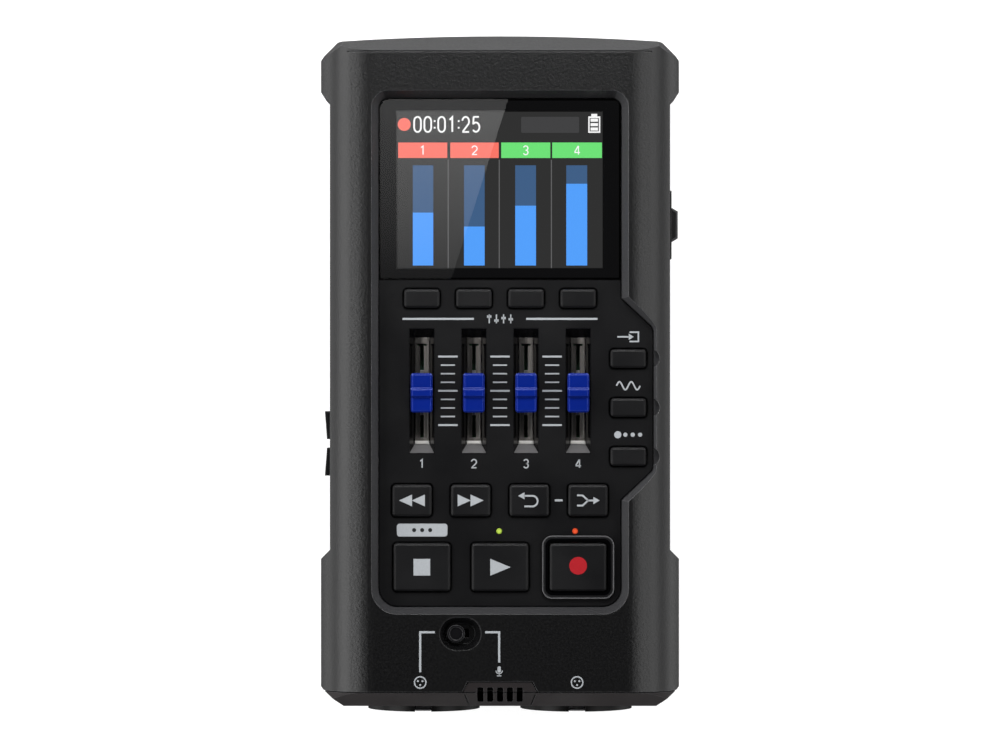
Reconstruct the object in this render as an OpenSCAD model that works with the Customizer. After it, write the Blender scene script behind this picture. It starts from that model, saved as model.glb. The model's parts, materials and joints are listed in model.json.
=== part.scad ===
// Handheld digital multitrack recorder, lying on its back with its control panel up.
// Millimetres: X across, Y towards the display end, Z up, origin under the middle of the body.

/* [Case] */
// Width over the bumpers
body_w = 85.5; // [84:0.5:94]
// Length from the display end to the faces of the input jacks
body_l = 161; // [159:0.5:170]
// Height of the case from its back face to its front face
case_h = 48; // [47:0.5:54]
// Wall of the moulded shells
wall = 2.2; // [1.8:0.1:2.5]
// Depth of the rear shell
rear_depth = 18; // [17:0.5:20]
// Radius of the long rounded shoulders
shoulder_r = 11.5; // [10.5:0.5:12.5]
// Radius of the long edges of the back
rear_r = 5; // [3.5:0.5:6]
// Width that the waist loses at each side
waist_inset = 2.4; // [1.5:0.1:2.8]
// Length of the bumper at the display end
upper_bumper_l = 13; // [12:0.2:15]
// Length of the bumper at the jack end
lower_bumper_l = 34.8; // [33:0.2:38]
// Corner cut at the display end
upper_corner = 5.7; // [4:0.1:6.5]
// Softening where that cut meets the bowed end
upper_corner_soft = 1.6; // [1:0.1:2.5]
// Slope of the front edge along that cut, measured across it
corner_slope_l = 2; // [1.5:0.1:3]
// Corner cut at the jack end, measured across
lower_corner_w = 5.6; // [4:0.1:6.5]
// Corner cut at the jack end, measured along
lower_corner_l = 4.5; // [3.5:0.1:6]
// Radius of the bowed display end, seen from the front
end_bow_r = 500; // [400:10:900]
// Slope of the front edge at the display end, measured along
upper_slope_l = 3.7; // [2.5:0.1:4.5]
// Slope of the front edge at the display end, measured down
upper_slope_h = 6.5; // [4:0.1:8]
// Slope of the front edge at the jack end, measured along
lower_slope_l = 3.7; // [3.2:0.1:4.5]
// Slope of the front edge at the jack end, measured down
lower_slope_h = 7; // [5:0.1:8]
// Cut along the back edges of both ends
rear_cut = 3.5; // [2.5:0.1:4]
// Width of the line grooves in the front
line_w = 0.3; // [0.2:0.05:0.4]
// Depth of the line grooves in the front
line_depth = 0.4; // [0.3:0.05:0.6]
// Open line between two mouldings
seam = 0.2; // [0.1:0.05:0.3]
// Height of the lip that joins the two shells
lip_h = 2; // [1.5:0.1:3]
// Thickness of the joining lips
lip_t = 1.2; // [0.8:0.1:1.4]
// Play of a joining lip
lip_gap = 0.15; // [0.1:0.05:0.3]

/* [Recess and panel] */
// Width of the panel recess at its floor
recess_w = 57.5; // [57:0.1:58]
// Lower edge of the recess floor
recess_bottom = -54.9; // [-55.5:0.1:-53.5]
// Depth of the panel face below the front face
recess_depth = 3.5; // [3:0.1:4]
// Width of the bevelled recess wall
recess_draft = 1.6; // [1:0.1:2]
// Corner radius of the recess floor at the display
recess_upper_r = 2.4; // [1.5:0.1:3.5]
// Corner radius of the recess floor at the transport keys
recess_lower_r = 4.4; // [3:0.1:5]
// Room of the side bay above its first key
bay_room_above = 4.03; // [3:0.01:5]
// Room of the side bay below its last key
bay_room_below = 0.03; // [0.01:0.01:1]
// Angle of the slanted walls of the side bay
bay_angle = 43; // [40:1:46]
// Corner radius of the side bay
bay_r = 2.2; // [1.5:0.1:3]
// Distance from the side keys to the wall of the side bay
bay_margin = 5.95; // [5.8:0.05:6.2]
// Width of the bevelled walls of the side bay
bay_draft = 1.3; // [0.8:0.1:1.8]
// Radius of the finger scallops beside the side keys
scallop_r = 2.3; // [1.8:0.1:2.6]
// Reach of the finger scallops into the wall
scallop_reach = 1.4; // [0.8:0.1:1.6]
// Thickness of the control panel
panel_t = 2.4; // [2.2:0.1:2.8]
// Play of the control panel in its recess
panel_gap = 0.1; // [0.05:0.05:0.2]
// Width of the ledge under the panel
ledge_w = 0.8; // [0.6:0.1:0.9]
// Thickness of the ledge under the panel
ledge_t = 1.6; // [1.2:0.1:2]
// Wall of the tub round the panel
tub_wall = 1.8; // [1.4:0.1:2.2]

/* [Display] */
// Length of the display lens along the body
lens_l = 42.6; // [41.5:0.1:43]
// Distance of the lens from the middle of the soft keys
lens_to_keys = 4.65; // [4.4:0.05:5.2]
// Thickness of the display lens
lens_t = 1.2; // [0.9:0.1:1.4]
// Depth of the lens face below the panel face
lens_step = 0.25; // [0.1:0.05:0.4]
// Open line round the lens
lens_gap = 0.25; // [0.15:0.05:0.4]
// Corner radius of the lens at its lower edge
lens_lower_r = 0.8; // [0.4:0.1:1.2]
// Width of the picture
screen_w = 48.96; // [47:0.01:50]
// Height of the picture
screen_h = 36.72; // [35:0.01:38]
// Margin of the window round the picture
window_margin = 0.8; // [0.5:0.1:1]
// Margin of the display module round the picture
module_margin = 2.2; // [1.6:0.1:2.4]
// Thickness of the display module
module_t = 3; // [2:0.1:3.5]

/* [Keys] */
// Open line round each key
key_gap = 0.3; // [0.2:0.05:0.4]
// Width of the lip that holds a key under the panel
key_lip = 0.5; // [0.4:0.05:0.55]
// Thickness of that lip
key_lip_t = 0.8; // [0.6:0.1:1]
// Rise of the keys above the panel
key_rise = 1.1; // [0.7:0.1:1.4]
// Corner radius of the keys
key_r = 0.9; // [0.5:0.1:1.2]
// Bevel along the upper edges of the keys
key_bevel = 0.35; // [0.2:0.05:0.5]
// Stroke of the keys
key_stroke = 0.45; // [0.3:0.05:0.6]
// Width of the small keys
small_key_w = 8.5; // [8:0.1:8.8]
// Height of the small keys
small_key_h = 4.45; // [4:0.05:5]
// Place of the row of soft keys along the body
soft_key_y = 18.15; // [17.6:0.05:18.6]
// Distance of the side keys from the side of the bumpers
side_key_inset = 12.35; // [12:0.05:12.8]
// Place of the first side key along the body
side_key_y = 3.9; // [3:0.1:5]
// Pitch of the side keys
side_key_pitch = 11.6; // [11:0.1:12]
// Width of the middle keys
middle_key_w = 9.4; // [8.6:0.1:10]
// Height of the middle keys
middle_key_h = 7.55; // [7:0.05:8]
// Pitch of the middle keys
middle_key_pitch = 13.9; // [13.2:0.1:14.2]
// Place of the middle keys along the body
middle_key_y = -29.7; // [-30.2:0.1:-29]
// Width of the transport keys
transport_key_w = 13.5; // [12.5:0.1:14]
// Height of the transport keys
transport_key_h = 11.4; // [10.5:0.1:11.8]
// Pitch of the transport keys
transport_pitch = 18.5; // [18:0.1:19]
// Place of the transport keys along the body
transport_y = -45.5; // [-45.8:0.1:-45]
// Wall of the raised ring round the record key
ring_t = 1.45; // [1:0.05:1.6]
// Rise of that ring above the panel
ring_rise = 0.9; // [0.5:0.1:1.2]
// Width of the square body of a key switch
switch_w = 3.8; // [3:0.1:4]
// Height of the body of a key switch
switch_h = 2.6; // [2:0.1:3]
// Diameter of the push pin of a key switch
switch_pin_d = 2; // [1.4:0.1:2.4]
// Diameter of the lamps
lamp_d = 1.15; // [0.9:0.05:1.6]
// Place of the play lamp across the body
lamp_x = -0.2; // [-0.5:0.1:0.5]
// Place of the lamps along the body
lamp_y = -37; // [-37.4:0.1:-36.6]
// Offset of the record lamp from the play lamp
lamp_offset = 18; // [17:0.1:19]
// Open line round the lamps
lamp_gap = 0.1; // [0.05:0.05:0.15]

/* [Faders] */
// Pitch of the faders and the soft keys
fader_pitch = 12.35; // [11.8:0.05:12.6]
// Middle of the fader slots along the body
fader_y = -3.75; // [-4.2:0.05:-3.4]
// Place of the faders at rest, from the middle of their stroke
fader_rest = -0.45; // [-1:0.05:1]
// Stroke of the faders
fader_stroke = 20; // [16:0.5:20.5]
// Width of the fader caps
cap_w = 5.05; // [4.6:0.05:5.4]
// Length of the fader caps
cap_l = 9.3; // [8:0.1:9.6]
// Rise of the fader caps above the panel, ridge included
cap_rise = 4.5; // [3.8:0.1:5.5]
// Rise of the ridge across a fader cap
ridge_h = 0.9; // [0.5:0.1:1.2]
// Width of that ridge at its foot
ridge_w = 2.2; // [1.8:0.1:3]
// Width of the crest of that ridge
crest_w = 1.5; // [0.5:0.1:1.6]
// Room between a fader cap and the panel under it
cap_clear = 0.2; // [0.15:0.05:0.3]
// Room between a fader cap and the sides of its slot
slot_side_gap = 0.42; // [0.3:0.02:0.6]
// Room between a fader cap and the end of its slot
slot_end_gap = 0.15; // [0.1:0.05:0.3]
// How much each side of a slot closes in towards its floor
slot_taper_w = 1.2; // [0.9:0.05:1.4]
// How much each end of a slot closes in towards its floor
slot_taper_l = 2.1; // [1.6:0.1:2.4]
// Width of the metal fader frames
frame_w = 8.4; // [7:0.1:9]
// Length of a fader frame beyond its stroke
frame_spare_l = 12.6; // [11:0.1:13]
// Height of the fader frames
frame_h = 6; // [5.4:0.1:6.6]
// Sheet metal of the fader frames
frame_t = 0.8; // [0.6:0.1:1]
// Rise of the rails and straps on the fader frames
strap_rise = 0.35; // [0.2:0.05:0.5]
// Length of the straps across the ends of a fader frame
strap_l = 1.3; // [0.8:0.05:1.3]
// Width of the rails along a fader frame
rail_w = 0.3; // [0.2:0.05:0.4]
// Play between the fader frames and the panel
frame_gap = 0.2; // [0.1:0.05:0.3]
// Thickness of the fader levers
lever_w = 0.6; // [0.5:0.05:0.8]
// Length of the fader levers along the stroke
lever_l = 2; // [1.6:0.1:2.1]
// Play of a lever in its slot
lever_gap = 0.15; // [0.1:0.05:0.25]
// Play between a lever and the cap pushed on it
cap_socket_gap = 0.03; // [0.02:0.01:0.05]

/* [Select switch] */
// Middle of the stroke of the select knob across the body
select_x = -9.35; // [-9.8:0.05:-9]
// Place of the select knob along the body
select_y = -61.1; // [-62:0.1:-60.5]
// Stroke of the select knob
select_stroke = 2; // [1.4:0.1:2.4]
// Diameter of the select knob
select_d = 4.1; // [3.6:0.1:4.6]
// Depth of the dish round the select knob
dish_depth = 2.2; // [1.8:0.1:2.6]
// Flare of the dish
dish_flare = 1.5; // [0.9:0.05:1.6]
// Floor left in the dish round the knob
dish_floor_gap = 0.4; // [0.3:0.05:0.6]

/* [Side controls] */
// Place of the power switch along the body
power_y = 35.95; // [34:0.1:38]
// Length of the power switch bezel
bezel_l = 16.3; // [15:0.1:18]
// Height of the power switch bezel
bezel_h = 8; // [7:0.1:9]
// How far the bezel stands out
bezel_t = 0.7; // [0.5:0.05:0.9]
// Length of the power knob
power_knob_l = 8; // [7:0.1:9]
// Height of the power knob
power_knob_h = 5; // [4.4:0.1:5.6]
// How far the power knob stands out of its bezel
power_knob_out = 1.5; // [1:0.05:1.6]
// Stroke of the power knob
power_stroke = 6; // [4:0.1:6.5]
// Middle of the pair of volume keys along the body
volume_y = -16.4; // [-17:0.1:-15.5]
// Length of a volume key
volume_key_l = 6.65; // [6:0.05:7]
// Height of a volume key
volume_key_h = 5; // [4.4:0.1:5.2]
// Wall between the two volume keys
volume_bar = 2.1; // [2:0.1:2.6]
// How far a volume key stands out at its far end
volume_out_far = 1.6; // [1.2:0.05:2]
// How far a volume key stands out at its near end
volume_out_near = 1.1; // [0.8:0.05:1.2]
// Stroke of the volume keys
volume_stroke = 0.5; // [0.3:0.05:0.7]
// Play of the side controls in the case wall
side_gap = 0.25; // [0.2:0.05:0.3]

/* [Sockets] */
// Place of the headphone socket along the body
headphone_y = 22; // [18:0.1:26]
// Place of the line output socket along the body
line_out_y = 37; // [34:0.1:42]
// Bore of the two audio sockets
audio_bore_d = 3.6; // [3.55:0.05:3.8]
// Depth of the audio sockets
audio_socket_l = 14; // [12:0.5:16]
// Diameter of the nozzle of an audio socket
nozzle_d = 6; // [5.4:0.1:6.2]
// Place of the USB socket along the body
usb_y = 14; // [10:0.1:18]
// Width of the USB shell
usb_w = 8.94; // [8.6:0.02:9.2]
// Height of the USB shell
usb_h = 3.26; // [3:0.02:3.4]
// Depth of the USB shell
usb_l = 7.4; // [6.5:0.1:9]
// Sheet metal of the USB shell
usb_t = 0.3; // [0.2:0.05:0.4]
// Place of the card socket along the body
card_y = -12; // [-14:0.1:-8]
// Width of the card slot
card_w = 11.4; // [11:0.1:12]
// Height of the card slot
card_h = 1.3; // [1:0.1:1.5]
// Depth of the card socket
card_l = 15; // [13:0.5:16]
// Length of the card cover
cover_l = 16; // [15:0.1:18]
// Height of the card cover
cover_h = 5.6; // [5:0.1:6]
// Thickness of the card cover
cover_t = 1.1; // [0.9:0.1:1.2]
// Diameter of the pins of the card cover
cover_pin_d = 0.7; // [0.5:0.05:0.8]

/* [Input jacks] */
// Distance of each jack from the middle
jack_x = 18.4; // [17.5:0.1:18.6]
// Diameter of the jack flanges
flange_d = 27; // [26:0.1:27.6]
// Thickness of the jack flanges, in front of the end cap
flange_t = 1.8; // [1.5:0.1:2]
// Diameter of the jack barrel in the end cap
barrel_d = 24; // [23:0.1:24.2]
// Height and width of the jack body
jack_body_w = 24.2; // [24.2:0.1:25]
// Depth of the jack behind the face of the end cap
jack_depth = 32; // [31:0.5:34]
// Bore round the insert
ring_bore_d = 19; // [18.8:0.1:19.2]
// Diameter of the insert
insert_d = 15.4; // [15:0.1:15.6]
// Length of the insert in front of its seat
insert_l = 13; // [12:0.5:14]
// Diameter of the foot of the insert
insert_foot_d = 17; // [16.6:0.1:17.4]
// Length of the foot of the insert
insert_foot_l = 3; // [2.5:0.1:3.5]
// Distance of the insert from the flange face
insert_step = 1; // [0.6:0.1:1.5]
// Bore for a 6.35 mm plug
plug_bore_d = 6.5; // [6.4:0.05:6.7]
// Depth of that bore behind the insert
plug_tail_l = 14.5; // [13:0.5:15]
// Diameter of the three contact holes
contact_hole_d = 2.4; // [2.2:0.1:2.6]
// Radius on which the contact holes lie
contact_r = 5.4; // [5.2:0.1:5.6]
// Width of the release latch
latch_w = 3.5; // [3:0.1:4]
// Stroke of the release latch
latch_stroke = 1; // [0.6:0.1:1.05]
// Play of the latch and the barrel
jack_gap = 0.2; // [0.15:0.05:0.25]

/* [Microphone] */
// Width of the microphone tongue at its upper edge
tongue_w = 15; // [14:0.1:16.4]
// Width that the tongue gains towards the end
tongue_flare = 1.3; // [0.5:0.1:1.4]
// Width that it loses again down the slope of the end cap
tongue_draw = 1.4; // [0.8:0.1:1.8]
// Reach of the tongue into the front face
tongue_l = 2.4; // [2:0.1:2.8]
// Depth of the tongue below the front face
tongue_step = 0.3; // [0.2:0.05:0.5]
// Number of microphone slots
mic_slots = 5; // [3:1:6]
// Width of a microphone slot
mic_slot_w = 1.45; // [1.1:0.05:1.6]
// Pitch of the microphone slots
mic_slot_pitch = 2.33; // [2.2:0.01:2.5]
// Length of a microphone slot
mic_slot_l = 3.7; // [3:0.1:3.9]
// Diameter of the microphone capsule
mic_d = 6; // [4:0.1:7]
// Height of the microphone capsule
mic_h = 4.5; // [3:0.1:5.5]

/* [Boards] */
// Thickness of the circuit boards
board_t = 1.6; // [1.2:0.1:1.6]
// Room between a board and the case round it
board_gap = 0.6; // [0.4:0.1:0.8]
// Upper edge of the main board
board_top = 64; // [62:0.1:64.5]
// Lower edge of the main board
board_bottom = -48.2; // [-48.3:0.1:-47.8]
// Distance of the board screws from the sides of the board
post_inset = 3; // [2.6:0.1:3.4]
// Distance of the upper board screws from the upper edge
post_upper_inset = 14; // [12:0.5:16]
// Distance of the lower board screws from the lower edge
post_lower_inset = 10.2; // [9:0.1:11]
// Height of the parts under the main board
part_h = 6.4; // [6:0.1:7]

/* [Back] */
// Diameter of a battery cell
cell_d = 14.5; // [13.8:0.1:14.5]
// Length of a battery cell
cell_l = 50.5; // [49:0.1:50.5]
// Diameter of the button of a battery cell
cell_button_d = 5.5; // [4.5:0.1:6]
// Play of a battery cell
cell_gap = 0.3; // [0.2:0.05:0.5]
// Length of a battery contact
contact_l = 1.6; // [1.2:0.1:2]
// Distance of the battery bay from the display end
bay_setback = 10.5; // [10:0.5:12]
// Wall round the battery bay
bay_wall = 1.6; // [1.2:0.1:2]
// Overlap of the battery door at its inner end
door_lap = 2.5; // [1.5:0.1:3]
// Overlap of the battery door along its sides
door_side_lap = 1.2; // [0.8:0.1:1.4]
// Width of the runners of the battery door
runner_w = 1; // [0.7:0.1:1.1]
// Thickness of the runners of the battery door
runner_t = 1; // [0.7:0.1:1.1]
// Play of the battery door
door_gap = 0.2; // [0.15:0.05:0.3]
// Number of grip grooves in the battery door
grip_grooves = 6; // [4:1:8]
// Distance of the first grip groove from the display end
grip_inset = 14; // [12:0.5:16]
// Stroke of the battery door
door_stroke = 66; // [60:1:70]
// Diameter of the speaker
speaker_d = 28; // [24:0.5:30]
// Place of the speaker along the body
speaker_y = -24; // [-25:0.5:-23]
// Diameter of the holes of the speaker grille
grille_d = 2; // [1.4:0.1:2.4]
// Pitch of the rings of grille holes
grille_pitch = 3.6; // [3.2:0.1:4]
// Thread bore of the tripod bush
tripod_bore_d = 5.1; // [5:0.05:5.3]
// Depth of the tripod thread
tripod_l = 8; // [6:0.5:9]
// Outer diameter of the tripod bush
bush_d = 9; // [8:0.1:10]
// Place of the tripod bush along the body
tripod_y = 2; // [0:0.5:4]
// Height of the rubber feet below the back face
foot_h = 1; // [0.6:0.1:1.6]
// Width of a rubber foot
foot_w = 4.2; // [3.4:0.1:4.3]
// Length of a rubber foot
foot_l = 14; // [10:0.5:16]
// Distance of the upper feet from the display end
foot_upper_inset = 26; // [22:0.5:30]
// Distance of the lower feet from the end cap's face
foot_lower_inset = 14; // [12:0.5:18]
// Depth of the seats of the rubber feet
foot_seat = 0.6; // [0.4:0.1:0.9]
// Play of the rubber feet in their seats
foot_gap = 0.1; // [0.05:0.05:0.15]
// Diameter of the screw bosses
boss_d = 6.2; // [5.6:0.1:6.2]
// Distance of the upper bosses from the display end
boss_upper_inset = 9.5; // [9:0.1:10.5]
// Distance of the lower bosses from the end cap's face
boss_lower_inset = 26.7; // [26:0.1:27.4]
// Room between the screw bosses and the grooves of the battery door
boss_room = 0.5; // [0.3:0.1:0.6]
// Diameter of the case screws
screw_d = 2; // [1.8:0.1:2.4]
// Play of a screw in its pilot hole
screw_gap = 0.04; // [0.02:0.01:0.08]
// Diameter of the heads of the case screws
screw_head_d = 4.6; // [4:0.1:4.8]
// Height of the seats of the screw heads above the back face
screw_seat_h = 3; // [2.4:0.1:4]
// Reach of the case screws into the front case
screw_reach = 9; // [6:0.5:12]

/* [Hidden] */
$fn = 48;
// how far a cutter runs past the face that it opens
over = 1;
// how far a piece runs into the one that it grows from
root = 0.5;

// main planes of the case
half_w = body_w / 2;
waist = half_w - waist_inset;
y_top = body_l / 2;
y_end = -body_l / 2 + flange_t;
z_back = foot_h;
z_rim = z_back + case_h;
z_split = z_back + rear_depth;
y_seam = y_end + lower_slope_l;

// stack under the control panel
z_panel = z_rim - recess_depth;
z_ledge = z_panel - panel_t;
z_tub = z_ledge - ledge_t;
z_lens = z_panel - lens_step;
z_board = z_ledge - frame_gap - frame_h;
z_under = z_board - board_t;
z_key_lip = z_ledge - frame_gap;
recess_half = recess_w / 2;
// the side keys follow the side of the body, but never run into the fader frames
beside_faders = 1.5 * fader_pitch + frame_w / 2 + frame_gap + key_lip + key_gap + small_key_w / 2;
side_key_x = max(half_w - side_key_inset, beside_faders);
bay_x = side_key_x + bay_margin;
bay_corner_x = bay_x - bay_r;
bay_upper_y = side_key_y + small_key_h / 2 + bay_room_above;
bay_lower_y = side_key_y - 2 * side_key_pitch - small_key_h / 2 - bay_room_below;
z_bevel = z_rim + over;
bay_flare = bay_draft * (z_bevel - z_panel) / recess_depth;
// length of the slanted walls, which end inside the main recess
bay_run = (bay_corner_x - recess_half + bay_flare + recess_lower_r) / cos(bay_angle);
lens_bottom = soft_key_y + lens_to_keys;
lens_y = lens_bottom + lens_l / 2;
recess_top = lens_bottom + lens_l + lens_gap;

// faders
slot_w = cap_w + 2 * slot_side_gap;
slot_l = fader_stroke + cap_l + 2 * slot_end_gap;
frame_l = fader_stroke + frame_spare_l;
fader_xs = [for (i = [-1.5:1:1.5]) i * fader_pitch];
// roof of a fader cap over its lever
lever_cover = 1;
// cross cut at the display end of the slit in a fader frame
cross_w = 2.2;
cross_l = 0.5;

// keys: foot over the push pin, and the room left under it at full stroke
key_foot = 0.8;
pin_gap = 0.05;

// sides
z_port = z_under - part_h / 2;
inner_wall = waist - wall;
power_neck_l = 3.6;
power_neck_h = 2.2;
power_slot = [power_stroke + power_neck_l + 2 * side_gap, power_neck_h + 2 * side_gap];
card_sheet = 0.3;
card_socket_t = card_h + 2 * card_sheet;
z_card = z_under - card_socket_t / 2;
cover_gap = 0.2;
cover_pin_l = 0.7;
cover_axis_x = waist - cover_gap / 2 - cover_t / 2;
cover_axis_y = card_y + cover_l / 2 - cover_t / 2;

// select switch
select_neck = 1.6;
select_slot = [select_stroke + select_neck + 2 * side_gap, select_neck + 2 * side_gap];
z_pad = z_rim - wall - dish_depth + root;
knob_play = 0.15;
select_end_wall = 2.5;
select_side_wall = 1.3;

// input jacks
z_jack = z_under - jack_body_w / 2;
jack_face = -body_l / 2;
insert_face = jack_face + insert_step;
insert_seat = insert_face + insert_l;
jack_back = y_end + jack_depth;
jacks_half = jack_x + jack_body_w / 2 + board_gap;
latch_face = jack_face + 0.2;
latch_z = ring_bore_d / 2 + jack_gap + 0.5;
latch_stem_l = 6.5;
latch_stem_h = 1;

// screws and bosses
boss_x = half_w - wall - lip_gap - lip_t - lip_gap - boss_d / 2;
boss_ys = [y_top - boss_upper_inset, y_end + boss_lower_inset];
screw_seat = z_back + screw_seat_h;
screw_head_h = 1.8;
post_d = 5;
board_half = inner_wall - board_gap;
post_x = board_half - post_inset;
post_ys = [board_top - post_upper_inset, board_bottom + post_lower_inset];
post_screw_d = 1.8;
post_screw_l = 5;
post_head_d = 3.6;
post_head_h = 1.3;

// battery bay and door, with as many cells as stand side by side between the bosses
cell_pitch = cell_d + cell_gap;
door_edge = door_side_lap + runner_w + door_gap;
cell_count = floor(2 * (boss_x - boss_d / 2 - boss_room - door_edge - cell_gap) / cell_pitch);
cell_xs = [for (i = [0:cell_count - 1]) (i - (cell_count - 1) / 2) * cell_pitch];
cells_half = cell_count / 2 * cell_pitch + cell_gap;
cells_y1 = y_top - bay_setback;
cells_y0 = cells_y1 - cell_l - 2 * contact_l;
door_half = cells_half + door_side_lap;
door_y0 = cells_y0 - door_lap;
z_door = z_back + wall;
groove_half = cells_half + door_edge;
runway_half = groove_half + bay_wall;
z_cell = z_door + door_gap + cell_gap + cell_d / 2;
z_cells_roof = z_cell + cell_d / 2 + cell_gap;

// feet, between the battery door and the sides
foot_shift = 0.4;
foot_x = (groove_half + half_w - rear_r) / 2 + foot_shift;
foot_ys = [y_top - foot_upper_inset, y_end + foot_lower_inset];

// lamp places
lamp_xs = [lamp_x, lamp_x + lamp_offset];

// places of the fourteen keys: across, along, width, height
soft_keys = [for (x = fader_xs) [x, soft_key_y, small_key_w, small_key_h]];
side_keys = [for (i = [0:2]) [side_key_x, side_key_y - i * side_key_pitch, small_key_w, small_key_h]];
middle_keys = [for (i = [-1.5:1:1.5]) [i * middle_key_pitch, middle_key_y, middle_key_w, middle_key_h]];
transport_keys = [for (i = [-1:1]) [i * transport_pitch, transport_y, transport_key_w, transport_key_h]];
all_keys = concat(soft_keys, side_keys, middle_keys, transport_keys);
key_names = [
  "soft_key_1", "soft_key_2", "soft_key_3", "soft_key_4",
  "input_key", "effect_key", "rhythm_key",
  "rewind_key", "forward_key", "undo_key", "bounce_key",
  "stop_key", "play_key", "record_key"
];
record_key = all_keys[13];

NODES = concat(
  ["front_case", "rear_case", "bottom_end_cap", "control_panel", "display_lens", "display_module"],
  ["main_board", "input_board", "key_switches", "slide_switches", "play_lamp", "record_lamp"],
  ["select_knob", "power_bezel", "power_knob", "volume_up_key", "volume_down_key"],
  ["headphone_socket", "line_out_socket", "usb_socket", "card_socket", "card_cover"],
  ["jack_a_housing", "jack_a_insert", "jack_a_latch", "jack_b_housing", "jack_b_insert", "jack_b_latch"],
  ["mic_capsule", "speaker", "battery_door", "battery_cells", "battery_contacts"],
  ["tripod_bush", "rubber_feet", "screws", "fader_frames"],
  [for (i = [1:4]) str("fader_lever_", i)],
  [for (i = [1:4]) str("fader_cap_", i)],
  key_names
);
node = "all";
function shows(name) = node == "all" || node == name;

// Plane shapes

module rounded(w, h, r) {
  square([w - 2 * r, h], center = true);
  square([w, h - 2 * r], center = true);
  for (x = [-1, 1], y = [-1, 1])
    translate([x * (w / 2 - r), y * (h / 2 - r)])
      circle(r);
}

// strip with round ends, its length along Y
module stadium(w, l) {
  square([w, l - w], center = true);
  for (s = [-1, 1])
    translate([0, s * (l - w) / 2])
      circle(d = w);
}

// a shape drawn in X and Z, drawn out along Y from y0 to y1
module along_y(y0, y1) {
  translate([0, y1, 0])
    rotate([90, 0, 0])
      linear_extrude(y1 - y0)
        children();
}

// a shape drawn in Y and Z, drawn out along X from x0 to x1
module along_x(x0, x1) {
  translate([x0, 0, 0])
    rotate([90, 0, 90])
      linear_extrude(x1 - x0)
        children();
}

module along_z(z0, z1) {
  translate([0, 0, z0])
    linear_extrude(z1 - z0)
      children();
}

module rod_y(d, y0, y1) {
  translate([0, y0, 0])
    rotate([-90, 0, 0])
      cylinder(d = d, h = y1 - y0);
}

module rod_x(d, x0, x1) {
  translate([x0, 0, 0])
    rotate([0, 90, 0])
      cylinder(d = d, h = x1 - x0);
}

module block(x0, x1, y0, y1, z0, z1) {
  translate([x0, y0, z0])
    cube([x1 - x0, y1 - y0, z1 - z0]);
}

module both_sides() {
  children();
  mirror([1, 0, 0])
    children();
}

// Outline of the case, each view drawn inwards by d

module cross_section(d) {
  shoulder_x = half_w - shoulder_r;
  rear_x = half_w - rear_r;
  for (s = [-1, 1]) {
    translate([s * shoulder_x, z_rim - shoulder_r])
      circle(shoulder_r - d, $fn = 96);
    translate([s * rear_x, z_back + rear_r])
      circle(rear_r - d);
  }
  translate([-shoulder_x, z_back + d])
    square([2 * shoulder_x, case_h - 2 * d]);
  translate([-rear_x, z_back + d])
    square([2 * rear_x, case_h - shoulder_r - d]);
  translate([d - half_w, z_back + rear_r])
    square([2 * (half_w - d), case_h - shoulder_r - rear_r]);
}

module plan_outline(d) {
  k = d * tan(22.5);
  a = atan(lower_corner_w / lower_corner_l);
  taper_low = y_end + lower_bumper_l;
  taper_high = y_top - upper_bumper_l;
  right = [
    [half_w - lower_corner_w - d * tan(45 - a / 2), y_end + d],
    [half_w - d, y_end + lower_corner_l + d * tan(a / 2)],
    [half_w - d, taper_low - k],
    [waist - d, taper_low + waist_inset - k],
    [waist - d, taper_high - waist_inset + k],
    [half_w - d, taper_high + k],
    [half_w - d, y_top - upper_corner - k],
    [half_w - upper_corner + upper_corner_soft - k, y_top - upper_corner_soft - d],
    [half_w - upper_corner - 2 * upper_corner_soft - k, y_top - d]
  ];
  left = [for (i = [len(right) - 1:-1:0]) [-right[i][0], right[i][1]]];
  intersection() {
    polygon(concat(right, left));
    translate([0, y_top - end_bow_r])
      circle(end_bow_r - d, $fn = 720);
  }
}

module side_profile(d) {
  k = d * tan(22.5);
  a = atan(upper_slope_h / upper_slope_l);
  b = atan(lower_slope_h / lower_slope_l);
  polygon([
    [y_top - upper_slope_l - d * tan(a / 2), z_rim - d],
    [y_top - d, z_rim - upper_slope_h - d * tan(45 - a / 2)],
    [y_top - d, z_back + rear_cut + k],
    [y_top - rear_cut - k, z_back + d],
    [y_end + rear_cut + k, z_back + d],
    [y_end + d, z_back + rear_cut + k],
    [y_end + d, z_rim - lower_slope_h - d * tan(45 - b / 2)],
    [y_end + lower_slope_l + d * tan(b / 2), z_rim - d]
  ]);
}

// everything inside the slope along one corner cut at the display end
module corner_slope(d, side) {
  steep = upper_slope_h / corner_slope_l;
  far = 2 * body_l;
  edge = (half_w + y_top - upper_corner) * cos(45) - corner_slope_l - d / sin(atan(steep));
  rotate(-45 * side)
    along_x(-far, far)
      polygon([
        [-far, -over],
        [edge + (z_rim + over) / steep, -over],
        [edge - over / steep, z_rim + over],
        [-far, z_rim + over]
      ]);
}

module case_solid(d = 0) {
  intersection() {
    corner_slope(d, 1);
    corner_slope(d, -1);
    along_y(-body_l, body_l)
      cross_section(d);
    along_z(-over, z_rim + over)
      plan_outline(d);
    along_x(-body_w, body_w)
      side_profile(d);
  }
}

module case_shell() {
  difference() {
    case_solid();
    case_solid(wall);
  }
}

// keeps of a cutter what lies in a thin skin of the case
module line_groove() {
  difference() {
    children();
    case_solid(line_depth);
  }
}

// Outline of the panel recess, moved outwards by g

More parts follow.
